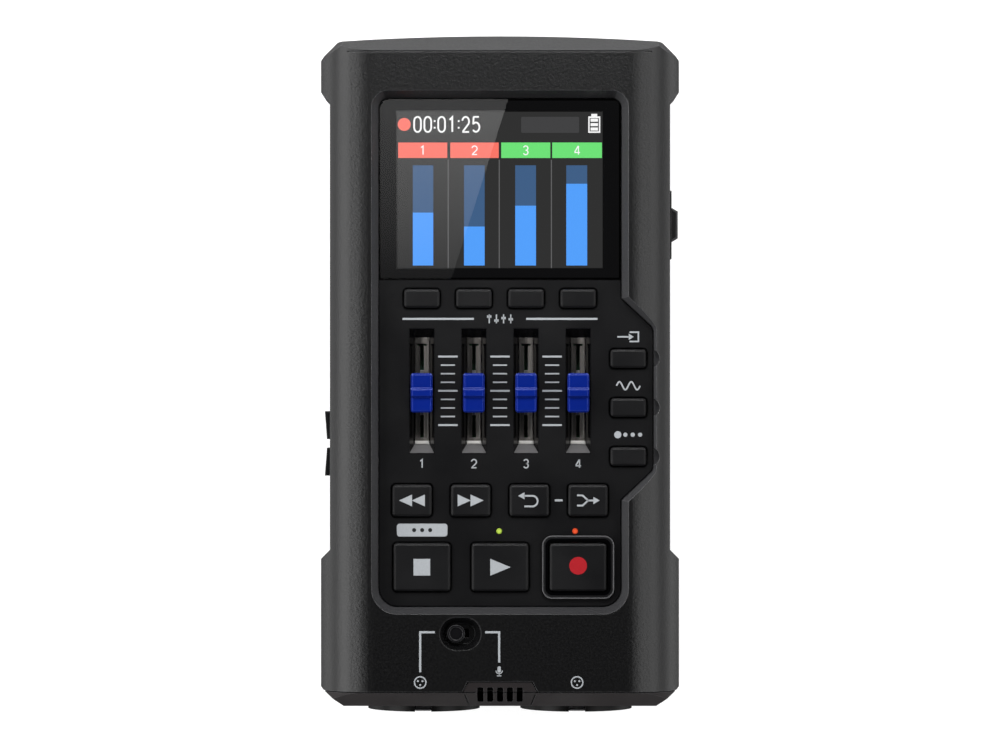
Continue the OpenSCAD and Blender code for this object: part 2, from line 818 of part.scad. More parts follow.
module recess_main(g) {
  w = recess_half + g;
  top = recess_top + g;
  bottom = recess_bottom - g;
  upper = recess_upper_r + g;
  lower = recess_lower_r + g;
  translate([-w, bottom + lower])
    square([2 * w, top - upper - bottom - lower]);
  translate([-(w - upper), bottom + lower])
    square([2 * (w - upper), top - bottom - lower]);
  translate([-(w - lower), bottom])
    square([2 * (w - lower), lower + over]);
  for (s = [-1, 1]) {
    translate([s * (w - upper), top - upper])
      circle(upper, $fn = 32);
    translate([s * (w - lower), bottom + lower])
      circle(lower, $fn = 32);
  }
}

// side bay for the side keys
module recess_bay(g) {
  r = bay_r + g;
  n = [sin(bay_angle), cos(bay_angle)];
  t = [-n[1], n[0]];
  upper = [bay_corner_x, bay_upper_y];
  lower = [bay_corner_x, bay_lower_y];
  polygon([
    upper + r * n + bay_run * t,
    upper + r * n,
    upper + [r, 0],
    lower + [r, 0],
    lower + r * [n[0], -n[1]],
    lower + r * [n[0], -n[1]] + bay_run * [t[0], -t[1]]
  ]);
  for (c = [upper, lower])
    translate(c)
      circle(r);
}

module recess_outline(g) {
  recess_main(g);
  recess_bay(g);
}

// bevelled walls of the recess, from the panel face up through the front face
module main_bevel() {
  g = recess_draft * (z_bevel - z_panel) / recess_depth;
  upper_y = recess_top - recess_upper_r;
  lower_y = recess_bottom + recess_lower_r;
  upper_x = recess_half - recess_upper_r;
  lower_x = recess_half - recess_lower_r;
  along_y(lower_y, upper_y)
    polygon([
      [-recess_half, z_panel],
      [recess_half, z_panel],
      [recess_half + g, z_bevel],
      [-recess_half - g, z_bevel]
    ]);
  along_x(-upper_x, upper_x)
    polygon([[lower_y, z_panel], [recess_top, z_panel], [recess_top + g, z_bevel], [lower_y, z_bevel]]);
  along_x(-lower_x, lower_x)
    polygon([
      [upper_y, z_panel],
      [recess_bottom, z_panel],
      [recess_bottom - g, z_bevel],
      [upper_y, z_bevel]
    ]);
  for (s = [-1, 1]) {
    translate([s * upper_x, upper_y, z_panel])
      cylinder(r1 = recess_upper_r, r2 = recess_upper_r + g, h = z_bevel - z_panel);
    translate([s * lower_x, lower_y, z_panel])
      cylinder(r1 = recess_lower_r, r2 = recess_lower_r + g, h = z_bevel - z_panel);
  }
}

// section of a bevelled wall of the side bay, across the line through its corner centres
module bay_wall_section() {
  inside = -4;
  polygon([[inside, z_panel], [bay_r, z_panel], [bay_r + bay_flare, z_bevel], [inside, z_bevel]]);
}

module bay_bevel() {
  translate([bay_corner_x, 0, 0])
    along_y(bay_lower_y, bay_upper_y)
      bay_wall_section();
  translate([bay_corner_x, bay_upper_y, 0])
    rotate(90 - bay_angle)
      along_y(0, bay_run)
        bay_wall_section();
  translate([bay_corner_x, bay_lower_y, 0])
    rotate(bay_angle - 90)
      along_y(-bay_run, 0)
        bay_wall_section();
  for (y = [bay_lower_y, bay_upper_y])
    translate([bay_corner_x, y, z_panel])
      cylinder(r1 = bay_r, r2 = bay_r + bay_flare, h = z_bevel - z_panel);
  // finger scallops beside the keys
  for (k = side_keys)
    translate([bay_x + scallop_reach - scallop_r, k[1], z_panel])
      cylinder(r = scallop_r, h = recess_depth + over);
}

module tongue_outline(g) {
  w = tongue_w / 2 + g;
  polygon([
    [-w, y_seam + tongue_l + g],
    [w, y_seam + tongue_l + g],
    [w + tongue_flare, y_seam],
    [w + tongue_flare, y_seam - over],
    [-w - tongue_flare, y_seam - over],
    [-w - tongue_flare, y_seam]
  ]);
}

module at_bosses() {
  for (y = boss_ys)
    both_sides()
      translate([boss_x, y, 0])
        children();
}

module at_posts() {
  for (y = post_ys)
    both_sides()
      translate([post_x, y, 0])
        children();
}

module at_feet() {
  for (y = foot_ys)
    both_sides()
      translate([foot_x, y, 0])
        children();
}

module at_jack(side) {
  translate([side * jack_x, 0, z_jack])
    children();
}

// Front case

module select_dish() {
  r = select_d / 2 + dish_floor_gap;
  z0 = z_rim - dish_depth;
  h = dish_depth + over;
  g = dish_flare * h / dish_depth;
  reach = select_stroke / 2;
  translate([select_x, select_y, 0]) {
    along_x(-reach, reach)
      polygon([[-r, z0], [r, z0], [r + g, z0 + h], [-r - g, z0 + h]]);
    for (s = [-1, 1])
      translate([s * reach, 0, z0])
        cylinder(r1 = r, r2 = r + g, h = h);
    along_z(z_pad - over, z0 + over)
      square(select_slot, center = true);
  }
}

module select_pad() {
  margin = 2;
  w = select_d + select_stroke + 2 * (dish_floor_gap + dish_flare) + margin;
  h = select_d + 2 * (dish_floor_gap + dish_flare) + margin;
  translate([select_x, select_y, 0])
    along_z(z_pad, z_rim - root)
      rounded(w, h, margin);
}

module side_openings() {
  // power switch at the right
  along_x(inner_wall - over, waist + over)
    translate([power_y, z_port])
      square(power_slot, center = true);
  // USB socket at the right
  along_x(inner_wall - over, waist + over)
    translate([usb_y, z_under - usb_h / 2])
      rounded(usb_w + 2 * side_gap, usb_h + 2 * side_gap, usb_h / 2);
  // card slot and the seat of its cover
  along_x(inner_wall - over, waist + over)
    translate([card_y, z_card])
      square([card_w + 2 * side_gap, card_h + 2 * side_gap], center = true);
  along_x(waist - cover_t - 2 * cover_gap, waist + over)
    translate([card_y, z_card])
      square([cover_l + 2 * cover_gap, cover_h + 2 * cover_gap], center = true);
  translate([cover_axis_x, cover_axis_y, z_card - cover_h / 2 - cover_pin_l - cover_gap])
    cylinder(d = cover_pin_d + cover_gap, h = cover_h + 2 * (cover_pin_l + cover_gap));
  // volume keys at the left
  for (s = [-1, 1])
    along_x(-waist - over, -inner_wall + over)
      translate([volume_y + s * (volume_bar + volume_key_l) / 2, z_port])
        square([volume_key_l + 2 * side_gap, volume_key_h + 2 * side_gap], center = true);
  // audio sockets at the left
  for (y = [headphone_y, line_out_y])
    translate([0, y, z_port])
      rod_x(nozzle_d + 2 * side_gap, -waist - over, -inner_wall + over);
}

// line along the foot of the slope at the display end
module end_line() {
  x = half_w - upper_corner - over;
  y = y_top - upper_slope_l - line_w;
  line_groove()
    block(-x, x, y - line_w / 2, y + line_w / 2, z_rim - 2 * over, z_rim + over);
}

module front_case() {
  color("dimgray")
    difference() {
      intersection() {
        case_solid();
        union() {
          case_shell();
          along_z(z_tub, z_rim)
            recess_outline(tub_wall);
          select_pad();
          at_bosses()
            cylinder(d = boss_d, h = z_rim - root);
          at_posts()
            translate([0, 0, z_board])
              cylinder(d = post_d, h = z_rim - root - z_board);
        }
        block(-body_w, body_w, y_seam + seam / 2, y_top + over, z_split + seam / 2, z_rim + over);
      }
      along_z(z_ledge, z_rim + over)
        recess_outline(panel_gap);
      main_bevel();
      bay_bevel();
      along_z(z_tub - over, z_ledge + root)
        recess_outline(-ledge_w);
      select_dish();
      side_openings();
      along_z(z_rim - wall - over, z_rim + over)
        tongue_outline(seam);
      end_line();
      at_bosses()
        cylinder(d = screw_d + 2 * screw_gap, h = z_split + screw_reach + over);
      at_posts()
        translate([0, 0, z_board - over])
          cylinder(d = post_screw_d + 2 * screw_gap, h = post_screw_l + 2 * over);
    }
}

// Rear case

module door_channel() {
  block(-door_half - door_gap, door_half + door_gap, door_y0 - door_gap, y_top + over,
    z_back - over, z_door + door_gap);
  block(-groove_half, groove_half, door_y0 - door_gap, y_top + over,
    z_door - runner_t - door_gap, z_door + door_gap);
}

module speaker_grille() {
  rings = floor((speaker_d / 2 - grille_d) / grille_pitch);
  translate([0, speaker_y, z_back - over]) {
    cylinder(d = grille_d, h = wall + 2 * over);
    for (ring = [1:rings], i = [0:6 * ring - 1])
      rotate(i * 60 / ring)
        translate([ring * grille_pitch, 0, 0])
          cylinder(d = grille_d, h = wall + 2 * over);
  }
}

// lip that stands inside the front case, on a thicker edge of the rear case
module rear_lip() {
  y0 = y_seam + 2 * lip_h;
  difference() {
    union() {
      intersection() {
        case_solid(wall + lip_gap);
        block(-body_w, body_w, y0, y_top, z_split - lip_h, z_split + lip_h);
      }
      intersection() {
        case_solid(root);
        block(-body_w, body_w, y0, y_top, z_split - lip_h, z_split - seam / 2);
      }
    }
    case_solid(wall + lip_gap + lip_t);
  }
}

module rear_case() {
  rim = 1.2;
  color("dimgray")
    difference() {
      union() {
        intersection() {
          case_solid();
          union() {
            case_shell();
            at_bosses()
              cylinder(d = boss_d, h = z_split);
            translate([0, tripod_y, z_back + root])
              cylinder(d = bush_d + 2 * wall, h = tripod_l + wall);
            translate([0, speaker_y, z_back + root])
              difference() {
                cylinder(d = speaker_d + 2 * (foot_gap + rim), h = wall + rim);
                translate([0, 0, -over])
                  cylinder(d = speaker_d + 2 * foot_gap, h = wall + rim + 2 * over);
              }
          }
          block(-body_w, body_w, y_seam + seam / 2, y_top + over, 0, z_split - seam / 2);
        }
        // battery bay, closed over the cells, and the runways of its door
        intersection() {
          case_solid(root);
          union() {
            block(-cells_half - bay_wall, cells_half + bay_wall, cells_y0 - bay_wall, cells_y1 + bay_wall,
              z_back, z_cells_roof + bay_wall);
            block(-runway_half, runway_half, door_y0 - door_gap - bay_wall, y_top,
              z_back, z_door + door_gap + bay_wall);
          }
        }
        rear_lip();
      }
      block(-cells_half, cells_half, cells_y0, cells_y1, z_back, z_cells_roof);
      door_channel();
      speaker_grille();
      translate([0, tripod_y, 0])
        cylinder(d = bush_d + 2 * screw_gap, h = z_back + tripod_l);
      at_bosses() {
        cylinder(d = screw_d + 2 * side_gap, h = z_split + over);
        cylinder(d = screw_head_d + 2 * side_gap, h = screw_seat);
      }
      at_feet()
        along_z(0, z_back + foot_seat)
          stadium(foot_w + 2 * foot_gap, foot_l + 2 * foot_gap);
    }
}

// Bottom end cap

// lines that carry the sides of the tongue down the slope, short of the seam
module tongue_lines() {
  x1 = tongue_w / 2 + tongue_flare - line_w;
  x0 = x1 - tongue_draw;
  line_groove()
    both_sides()
      along_z(z_rim - lower_slope_h - over, z_rim + over)
        polygon([
          [x1, y_seam - seam - line_w],
          [x1 - line_w, y_seam - seam - line_w],
          [x0 - line_w, y_end - over],
          [x0, y_end - over]
        ]);
}

module bottom_end_cap() {
  slots_x0 = -(mic_slots - 1) / 2 * mic_slot_pitch;
  slot_y1 = y_seam + tongue_l - (tongue_l + lower_slope_l - mic_slot_l) / 2;
  color("dimgray")
    difference() {
      union() {
        intersection() {
          case_shell();
          block(-body_w, body_w, y_end - over, y_seam - seam / 2, 0, z_rim + over);
        }
        // lip inside both shells, on a thicker wall, cut back where the jacks stand
        difference() {
          union() {
            intersection() {
              case_solid(wall + lip_gap);
              block(-body_w, body_w, y_end, y_seam + lip_h, 0, z_rim);
            }
            intersection() {
              case_solid(root);
              block(-body_w, body_w, y_end, y_seam - seam / 2, 0, z_rim);
            }
          }
          case_solid(wall + lip_gap + lip_t);
          block(-jacks_half, jacks_half, y_end + wall, y_seam + lip_h + over,
            z_jack - jack_body_w / 2 - board_gap, z_jack + jack_body_w / 2 + board_gap);
        }
        // microphone tongue
        intersection() {
          case_solid(tongue_step);
          along_z(z_rim - wall - lip_gap - lip_t, z_rim)
            tongue_outline(0);
        }
      }
      for (s = [-1, 1])
        at_jack(s)
          rod_y(barrel_d + 2 * jack_gap, y_end - over, y_seam + over);
      for (i = [0:mic_slots - 1])
        translate([slots_x0 + i * mic_slot_pitch, slot_y1 - mic_slot_l / 2, 0])
          along_z(z_rim - lower_slope_h - wall, z_rim + over)
            rounded(mic_slot_w, mic_slot_l, mic_slot_w / 4);
      tongue_lines();
    }
}

// Control panel, with the bed of the lens, the key holes and the fader slots

// half of a slot's section: straight above the panel and below it, closing in between
function slot_section(w, taper) = [
  [-w, z_panel + over],
  [-w, z_panel],
  [taper - w, z_ledge],
  [taper - w, z_ledge - over],
  [w - taper, z_ledge - over],
  [w - taper, z_ledge],
  [w, z_panel],
  [w, z_panel + over]
];

module fader_slot() {
  intersection() {
    along_y(-slot_l, slot_l)
      polygon(slot_section(slot_w / 2, slot_taper_w));
    along_x(-slot_w, slot_w)
      polygon(slot_section(slot_l / 2, slot_taper_l));
  }
}

module control_panel() {
  panel_top = lens_bottom - lens_gap;
  far = 2 * body_l;
  ring = 2 * (key_gap + ring_t);
  color("#26272a")
    difference() {
      union() {
        intersection() {
          along_z(z_ledge, z_panel)
            recess_outline(-panel_gap);
          union() {
            block(-far, far, -far, far, z_ledge, z_lens - lens_t);
            block(-far, far, -far, panel_top, z_ledge, z_panel);
          }
        }
        translate([record_key[0], record_key[1], 0])
          along_z(z_panel - root, z_panel + ring_rise)
            rounded(record_key[2] + ring, record_key[3] + ring, key_r + ring_t);
      }
      translate([0, lens_y, 0])
        along_z(z_ledge - over, z_panel + over)
          square([screen_w + 2 * window_margin, screen_h + 2 * window_margin], center = true);
      for (k = all_keys)
        translate([k[0], k[1], 0])
          along_z(z_ledge - over, z_panel + ring_rise + over)
            rounded(k[2] + 2 * key_gap, k[3] + 2 * key_gap, key_r + key_gap);
      for (x = fader_xs)
        translate([x, fader_y, 0])
          fader_slot();
      for (x = lamp_xs)
        translate([x, lamp_y, z_ledge - over])
          cylinder(d = lamp_d + 2 * lamp_gap, h = panel_t + 2 * over);
    }
}

// Display

module display_lens() {
  w = recess_w - 2 * lens_gap;
  top = recess_top - lens_gap;
  bottom = top - lens_l;
  color("#101114", 0.6)
    along_z(z_lens - lens_t, z_lens) {
      translate([-w / 2, bottom + lens_lower_r])
        square([w, lens_l - recess_upper_r - lens_lower_r]);
      translate([-w / 2 + recess_upper_r, bottom + lens_lower_r])
        square([w - 2 * recess_upper_r, lens_l - lens_lower_r]);
      translate([-w / 2 + lens_lower_r, bottom])
        square([w - 2 * lens_lower_r, lens_l / 2]);
      for (s = [-1, 1]) {
        translate([s * (w / 2 - recess_upper_r), top - recess_upper_r])
          circle(recess_upper_r);
        translate([s * (w / 2 - lens_lower_r), bottom + lens_lower_r])
          circle(lens_lower_r);
      }
    }
}

module display_module() {
  glass = 0.8;
  color("#3a4048")
    translate([0, lens_y, 0]) {
      along_z(z_ledge - module_t, z_ledge - glass)
        square([screen_w + 2 * module_margin, screen_h + 2 * module_margin], center = true);
      along_z(z_ledge - glass - root, z_ledge)
        square([screen_w + 2 * window_margin + 1, screen_h + 2 * window_margin + 1], center = true);
    }
}

// Boards and the switches on them

module main_board() {
  color("darkgreen")
    difference() {
      translate([0, (board_top + board_bottom) / 2, 0])
        along_z(z_under, z_board)
          rounded(2 * board_half, board_top - board_bottom, 2);
      at_posts()
        translate([0, 0, z_under - over])
          cylinder(d = post_screw_d + 2 * side_gap, h = board_t + 2 * over);
    }
}

module input_board() {
  half = boss_x - boss_d / 2 - board_gap;
  y1 = board_bottom - board_gap;
  y0 = y_seam + lip_h + board_gap;
  color("darkgreen")
    translate([0, (y0 + y1) / 2, 0])
      along_z(z_under, z_board)
        rounded(2 * half, y1 - y0, 1);
}

module key_switches() {
  pin_top = z_key_lip - key_lip_t - key_foot - key_stroke - pin_gap;
  far_x = inner_wall - side_gap - key_lip_t - key_foot - volume_stroke - pin_gap;
  color("#3b3b3e") {
    for (k = all_keys)
      translate([k[0], k[1], 0]) {
        along_z(z_board, z_board + switch_h)
          rounded(switch_w, switch_w, 0.3);
        translate([0, 0, z_board])
          cylinder(d = switch_pin_d, h = pin_top - z_board);
      }
    for (s = [-1, 1])
      translate([0, volume_y + s * (volume_bar + volume_key_l) / 2, 0]) {
        along_x(-far_x + switch_w / 4, -far_x + switch_w / 4 + switch_w)
          translate([0, z_under - part_h / 2])
            square([switch_w, part_h], center = true);
        translate([0, 0, z_port])
          rod_x(switch_pin_d, -far_x, -far_x + switch_w);
      }
  }
}

module slide_switches() {
  power_x1 = inner_wall - side_gap;
  power_half = power_slot[0] / 2 + 1.2;
  select_top = z_pad - side_gap;
  color("#4a4a4d") {
    difference() {
      block(power_x1 - part_h, power_x1, power_y - power_half, power_y + power_half,
        z_under - part_h, z_under);
      along_x(power_x1 - part_h / 2, power_x1 + over)
        translate([power_y, z_port])
          square(power_slot, center = true);
    }
    translate([select_x, select_y, 0])
      difference() {
        along_z(z_board, select_top)
          rounded(select_slot[0] + 2 * select_end_wall, select_slot[1] + 2 * select_side_wall, 0.4);
        along_z(select_top - 2.5, select_top + over)
          square(select_slot, center = true);
      }
  }
}

module lamp(i) {
  base_w = 2.2;
  base_h = 1.6;
  collar_t = 0.6;
  color(i == 0 ? "yellowgreen" : "orangered")
    translate([lamp_xs[i], lamp_y, 0]) {
      along_z(z_board, z_board + base_h)
        rounded(base_w, base_w, 0.3);
      translate([0, 0, z_board])
        cylinder(d = lamp_d, h = z_panel - z_board);
      translate([0, 0, z_ledge - frame_gap - collar_t])
        cylinder(d = 2 * lamp_d, h = collar_t);
    }
}

// Keys on the panel

// section of a cap that is w wide, its upper edges cut by bevel
function bevelled(w, z0, z1, bevel) = [
  [-w / 2, z0],
  [w / 2, z0],
  [w / 2, z1 - bevel],
  [w / 2 - bevel, z1],
  [bevel - w / 2, z1],
  [-w / 2, z1 - bevel]
];

// block with rounded corners and bevelled upper edges
module soft_block(w, h, r, z0, z1, bevel) {
  intersection() {
    along_z(z0, z1)
      rounded(w, h, r);
    along_y(-h, h)
      polygon(bevelled(w, z0, z1, bevel));
    along_x(-w, w)
      polygon(bevelled(h, z0, z1, bevel));
  }
}

module key(i) {
  k = all_keys[i];
  lip_w = k[2] + 2 * (key_gap + key_lip);
  lip_l = k[3] + 2 * (key_gap + key_lip);
  color("#1f2022")
    translate([k[0], k[1], 0]) {
      along_z(z_key_lip - key_lip_t, z_key_lip)
        rounded(lip_w, lip_l, key_r + key_lip);
      soft_block(k[2], k[3], key_r, z_key_lip - key_lip_t, z_panel + key_rise, key_bevel);
      translate([0, 0, z_key_lip - key_lip_t - key_foot])
        cylinder(d = switch_pin_d + 1, h = key_foot + root);
    }
}

// Faders

module fader_frames() {
  inner_w = frame_w - 2 * frame_t;
  inner_l = frame_l - 2 * frame_t;
  slit_l = fader_stroke + lever_l + 2 * lever_gap;
  slit_w = lever_w + 2 * lever_gap;
  tray_w = slot_w - 2 * (slot_taper_w + frame_gap);
  tray_l = slot_l - 2 * (slot_taper_l + frame_gap);
  z_top = z_board + frame_h;
  color("silver")
    for (x = fader_xs)
      translate([x, fader_y, 0])
        difference() {
          union() {
            along_z(z_board, z_top)
              square([frame_w, frame_l], center = true);
            // rails and straps, which stand up into the slot of the panel
            along_z(z_top - root, z_top + strap_rise)
              square([tray_w, tray_l], center = true);
          }
          along_z(z_board - over, z_top - frame_t)
            square([inner_w, inner_l], center = true);
          along_z(z_top, z_top + over)
            square([tray_w - 2 * rail_w, tray_l - 2 * strap_l], center = true);
          along_z(z_board, z_top + over)
            square([slit_w, slit_l], center = true);
          translate([0, (slit_l - cross_l) / 2, 0])
            along_z(z_board, z_top + over)
              square([cross_w, cross_l], center = true);
        }
}

module fader_lever(i) {
  slider_w = frame_w - 2 * frame_t - 2 * lever_gap;
  slider_l = frame_spare_l - 2 * frame_t - 2 * lever_gap;
  slider_h = frame_h - frame_t - 2 * lever_gap;
  socket_top = z_panel + cap_rise - ridge_h - lever_cover;
  color("gainsboro")
    translate([fader_xs[i], fader_y + fader_rest, 0]) {
      along_z(z_board + lever_gap, z_board + lever_gap + slider_h)
        square([slider_w, slider_l], center = true);
      along_z(z_board + lever_gap, socket_top)
        square([lever_w, lever_l], center = true);
    }
}

module fader_cap(i) {
  bevel = 0.4;
  corner = 0.7;
  z0 = z_panel + cap_clear;
  z1 = z_panel + cap_rise - ridge_h;
  z2 = z_panel + cap_rise;
  color("#1a35b0")
    translate([fader_xs[i], fader_y + fader_rest, 0])
      difference() {
        union() {
          soft_block(cap_w, cap_l, corner, z0, z1, bevel);
          // ridge across the middle
          intersection() {
            along_x(-cap_w, cap_w)
              polygon([
                [-ridge_w / 2, z0],
                [ridge_w / 2, z0],
                [ridge_w / 2, z1],
                [crest_w / 2, z2],
                [-crest_w / 2, z2],
                [-ridge_w / 2, z1]
              ]);
            along_y(-cap_l, cap_l)
              polygon(bevelled(cap_w, z0, z2, bevel));
          }
        }
        along_z(z0 - over, z1 - lever_cover + cap_socket_gap)
          square([lever_w + 2 * cap_socket_gap, lever_l + 2 * cap_socket_gap], center = true);
      }
}

// Select knob, resting at the left end of its stroke

module select_knob() {
  z0 = z_rim - dish_depth + knob_play;
  top = z_rim - 0.5;
  rim = 0.5;
  dimple = 0.3;
  bottom = z_pad - side_gap - 2;
  color("#2b2c2f")
    translate([select_x - select_stroke / 2, select_y, 0]) {
      difference() {
        translate([0, 0, z0])
          cylinder(d = select_d, h = top - z0);
        translate([0, 0, top - dimple])
          cylinder(d = select_d - 2 * rim, h = dimple + over);
      }
      along_z(bottom, z0 + root)
        square([select_neck, select_neck], center = true);
    }
}

// Side controls

module power_bezel() {
  corner = 0.8;
  color("#2b2c2f")
    difference() {
      along_x(waist, waist + bezel_t)
        translate([power_y, z_port])
          rounded(bezel_l, bezel_h, corner);
      along_x(waist - over, waist + bezel_t + over)
        translate([power_y, z_port])
          square(power_slot, center = true);
    }
}

module power_knob() {
  x0 = waist + bezel_t + knob_play;
  x1 = waist + bezel_t + power_knob_out;
  end_slope = 0.8;
  grooves = 3;
  groove_pitch = 1.5;
  groove_w = 0.5;
  groove_depth = 0.3;
  color("#3a3b3e")
    difference() {
      union() {
        along_z(z_port - power_knob_h / 2, z_port + power_knob_h / 2)
          polygon([
            [x0, power_y - power_knob_l / 2],
            [x1, power_y - power_knob_l / 2 + end_slope],
            [x1, power_y + power_knob_l / 2 - end_slope],
            [x0, power_y + power_knob_l / 2]
          ]);
        along_x(inner_wall - side_gap - 2, x0 + root)
          translate([power_y, z_port])
            square([power_neck_l, power_neck_h], center = true);
      }
      // grip grooves
      for (i = [0:grooves - 1])
        translate([x1 - groove_depth, power_y + (i - (grooves - 1) / 2) * groove_pitch, z_port])
          translate([0, -groove_w / 2, -power_knob_h])
            cube([over, groove_w, 2 * power_knob_h]);
    }
}

// s is 1 for the key nearer the display
module volume_key(s) {
  mid = volume_y + s * (volume_bar + volume_key_l) / 2;
  far_y = mid + s * volume_key_l / 2;
  near_y = mid - s * volume_key_l / 2;
  lip = 0.6;
  x_lip = -inner_wall + side_gap;
  color("#1f2022") {
    along_z(z_port - volume_key_h / 2, z_port + volume_key_h / 2)
      polygon([
        [x_lip + root, near_y],
        [-waist - volume_out_near, near_y],
        [-waist - volume_out_far, far_y],
        [x_lip + root, far_y]
      ]);
    along_x(x_lip, x_lip + key_lip_t)
      translate([mid, z_port])
        square([volume_key_l + 2 * lip, volume_key_h + 2 * lip], center = true);
    translate([0, mid, z_port])
      rod_x(switch_pin_d + 0.6, x_lip, x_lip + key_lip_t + key_foot);
  }
}

// Sockets

module audio_socket(y) {
  body_w2 = 7;
  color("#2a2a2c")
    translate([0, y, 0])
      difference() {
        union() {
          translate([0, 0, z_port])
            rod_x(nozzle_d, -waist, -inner_wall + over);
          block(-inner_wall + side_gap, -waist + audio_socket_l + 1.5, -body_w2 / 2, body_w2 / 2,
            z_under - part_h, z_under);
        }
        translate([0, 0, z_port])
          rod_x(audio_bore_d, -waist - over, -waist + audio_socket_l);
      }
}

module usb_socket() {
  blade_w = 6.7;
  blade_t = 0.7;
  z = z_under - usb_h / 2;
  color("silver")
    translate([0, usb_y, z]) {
      difference() {
        along_x(waist - usb_l, waist - seam)
          rounded(usb_w, usb_h, usb_h / 2 - 0.01);
        along_x(waist - usb_l + usb_t, waist + over)
          rounded(usb_w - 2 * usb_t, usb_h - 2 * usb_t, usb_h / 2 - usb_t - 0.01);
      }
      block(waist - usb_l + usb_t / 2, waist - 1, -blade_w / 2, blade_w / 2, -blade_t / 2, blade_t / 2);
    }
}

module card_socket() {
  x1 = inner_wall - side_gap;
  x0 = x1 - card_l;
  half = card_w / 2;
  rim = 1;
  color("silver")
    translate([0, card_y, z_card])
      difference() {
        block(x0, x1, -half - rim, half + rim, -card_socket_t / 2, card_socket_t / 2);
        block(x0 + rim, x1 + over, -half, half, -card_h / 2, card_h / 2);
      }
}

module card_cover() {
  x1 = waist - cover_gap / 2;
  nail_w = 3;
  color("#2b2c2f")
    difference() {
      union() {
        along_z(z_card - cover_h / 2, z_card + cover_h / 2) {
          translate([x1 - cover_t, card_y - cover_l / 2])
            square([cover_t, cover_l - cover_t / 2]);
          translate([cover_axis_x, cover_axis_y])
            circle(d = cover_t);
        }
        translate([cover_axis_x, cover_axis_y, z_card - cover_h / 2 - cover_pin_l])
          cylinder(d = cover_pin_d, h = cover_h + 2 * cover_pin_l);
      }
      // nail notch at the free end
      translate([x1, card_y - cover_l / 2, z_card])
        cylinder(d = 1.2, h = nail_w, center = true);
    }
}

// Input jacks at the lower end

// notch in the flange for the thumb tab, and the way behind it for the stem
module latch_slot() {
  half = latch_w / 2 + jack_gap;
  stem_end = latch_face + latch_stem_l + latch_stroke + jack_gap;
  block(-half, half, jack_face - over, stem_end, latch_z - jack_gap, latch_z + latch_stem_h + jack_gap);
  block(-half, half, jack_face - over, y_end - 0.1, latch_z - jack_gap, flange_d);
}

module jack_housing(side) {
  color("#1c1c1e")
    at_jack(side)
      difference() {
        union() {
          rod_y(flange_d, jack_face, y_end);
          rod_y(barrel_d, y_end - root, y_end + wall + side_gap + root);
          along_y(y_end + wall + side_gap, jack_back)
            rounded(jack_body_w, jack_body_w, 2);
        }
        rod_y(ring_bore_d, jack_face - over, insert_seat);
        rod_y(insert_foot_d + 2 * screw_gap, insert_seat - root, insert_seat + insert_foot_l);
        rod_y(plug_bore_d, insert_seat, insert_seat + insert_foot_l + plug_tail_l);
        latch_slot();
      }
}

module jack_insert(side) {
  color("#2a2a2c")
    at_jack(side)
      difference() {
        union() {
          rod_y(insert_d, insert_face, insert_seat + root);
          rod_y(insert_foot_d, insert_seat, insert_seat + insert_foot_l);
        }
        rod_y(plug_bore_d, insert_face - over, insert_seat + insert_foot_l + over);
        for (a = [90, 210, 330])
          rotate([0, a, 0])
            translate([contact_r, 0, 0])
              rod_y(contact_hole_d, insert_face - over, insert_seat - 2);
      }
}

module jack_latch(side) {
  tab_t = y_end - latch_face - latch_stroke - jack_gap;
  half = latch_w / 2;
  color("gainsboro")
    at_jack(side) {
      block(-half, half, latch_face, latch_face + latch_stem_l, latch_z, latch_z + latch_stem_h);
      block(-half, half, latch_face, latch_face + tab_t, latch_z, flange_d / 2 - 0.3);
    }
}

module mic_capsule() {
  y = y_seam + lip_h + board_gap + mic_d / 2 + 0.5;
  color("silver")
    translate([0, y, z_board])
      cylinder(d = mic_d, h = mic_h);
}

// Back

module speaker() {
  frame_l2 = 2.4;
  magnet_d = speaker_d * 0.55;
  magnet_l = 3.4;
  color("#303033")
    translate([0, speaker_y, z_back + wall]) {
      cylinder(d = speaker_d, h = frame_l2);
      cylinder(d = magnet_d, h = frame_l2 + magnet_l);
    }
}

module battery_door() {
  groove_pitch = 1.8;
  groove_l = 18;
  groove_d = 1;
  grip_y = y_top - grip_inset;
  color("dimgray")
    difference() {
      intersection() {
        case_solid();
        union() {
          block(-door_half, door_half, door_y0, y_top + over, 0, z_door);
          block(-door_half - runner_w, door_half + runner_w, door_y0, y_top - rear_cut - runner_w,
            z_door - runner_t, z_door);
        }
      }
      for (i = [0:grip_grooves - 1])
        translate([0, grip_y - i * groove_pitch, z_back])
          rotate([0, 90, 0])
            cylinder(d = groove_d, h = groove_l, center = true);
    }
}

module battery_cells() {
  button_l = 1;
  color("#7d8a4e")
    for (i = [0:cell_count - 1])
      translate([cell_xs[i], (cells_y0 + cells_y1) / 2, z_cell])
        rotate([0, 0, i % 2 * 180]) {
          rod_y(cell_d, -cell_l / 2, cell_l / 2 - button_l);
          rod_y(cell_button_d, 0, cell_l / 2);
        }
}

module battery_contacts() {
  plate = 0.5;
  plate_w = cell_d - 4;
  color("silver")
    for (x = cell_xs, s = [-1, 1])
      translate([x, (cells_y0 + cells_y1) / 2, z_cell])
        rotate([0, 0, s < 0 ? 180 : 0])
          translate([0, cell_l / 2, 0]) {
            along_y(contact_l - plate, contact_l)
              square([plate_w, plate_w], center = true);
            rod_y(cell_button_d - 1, 0, contact_l - plate / 2);
          }
}

module tripod_bush() {
  color("darkgoldenrod")
    translate([0, tripod_y, z_back])
      difference() {
        cylinder(d = bush_d, h = tripod_l);
        translate([0, 0, -over])
          cylinder(d = tripod_bore_d, h = tripod_l);
      }
}

module rubber_feet() {
  color("#151515")
    at_feet()
      along_z(0, z_back + foot_seat)
        stadium(foot_w, foot_l);
}

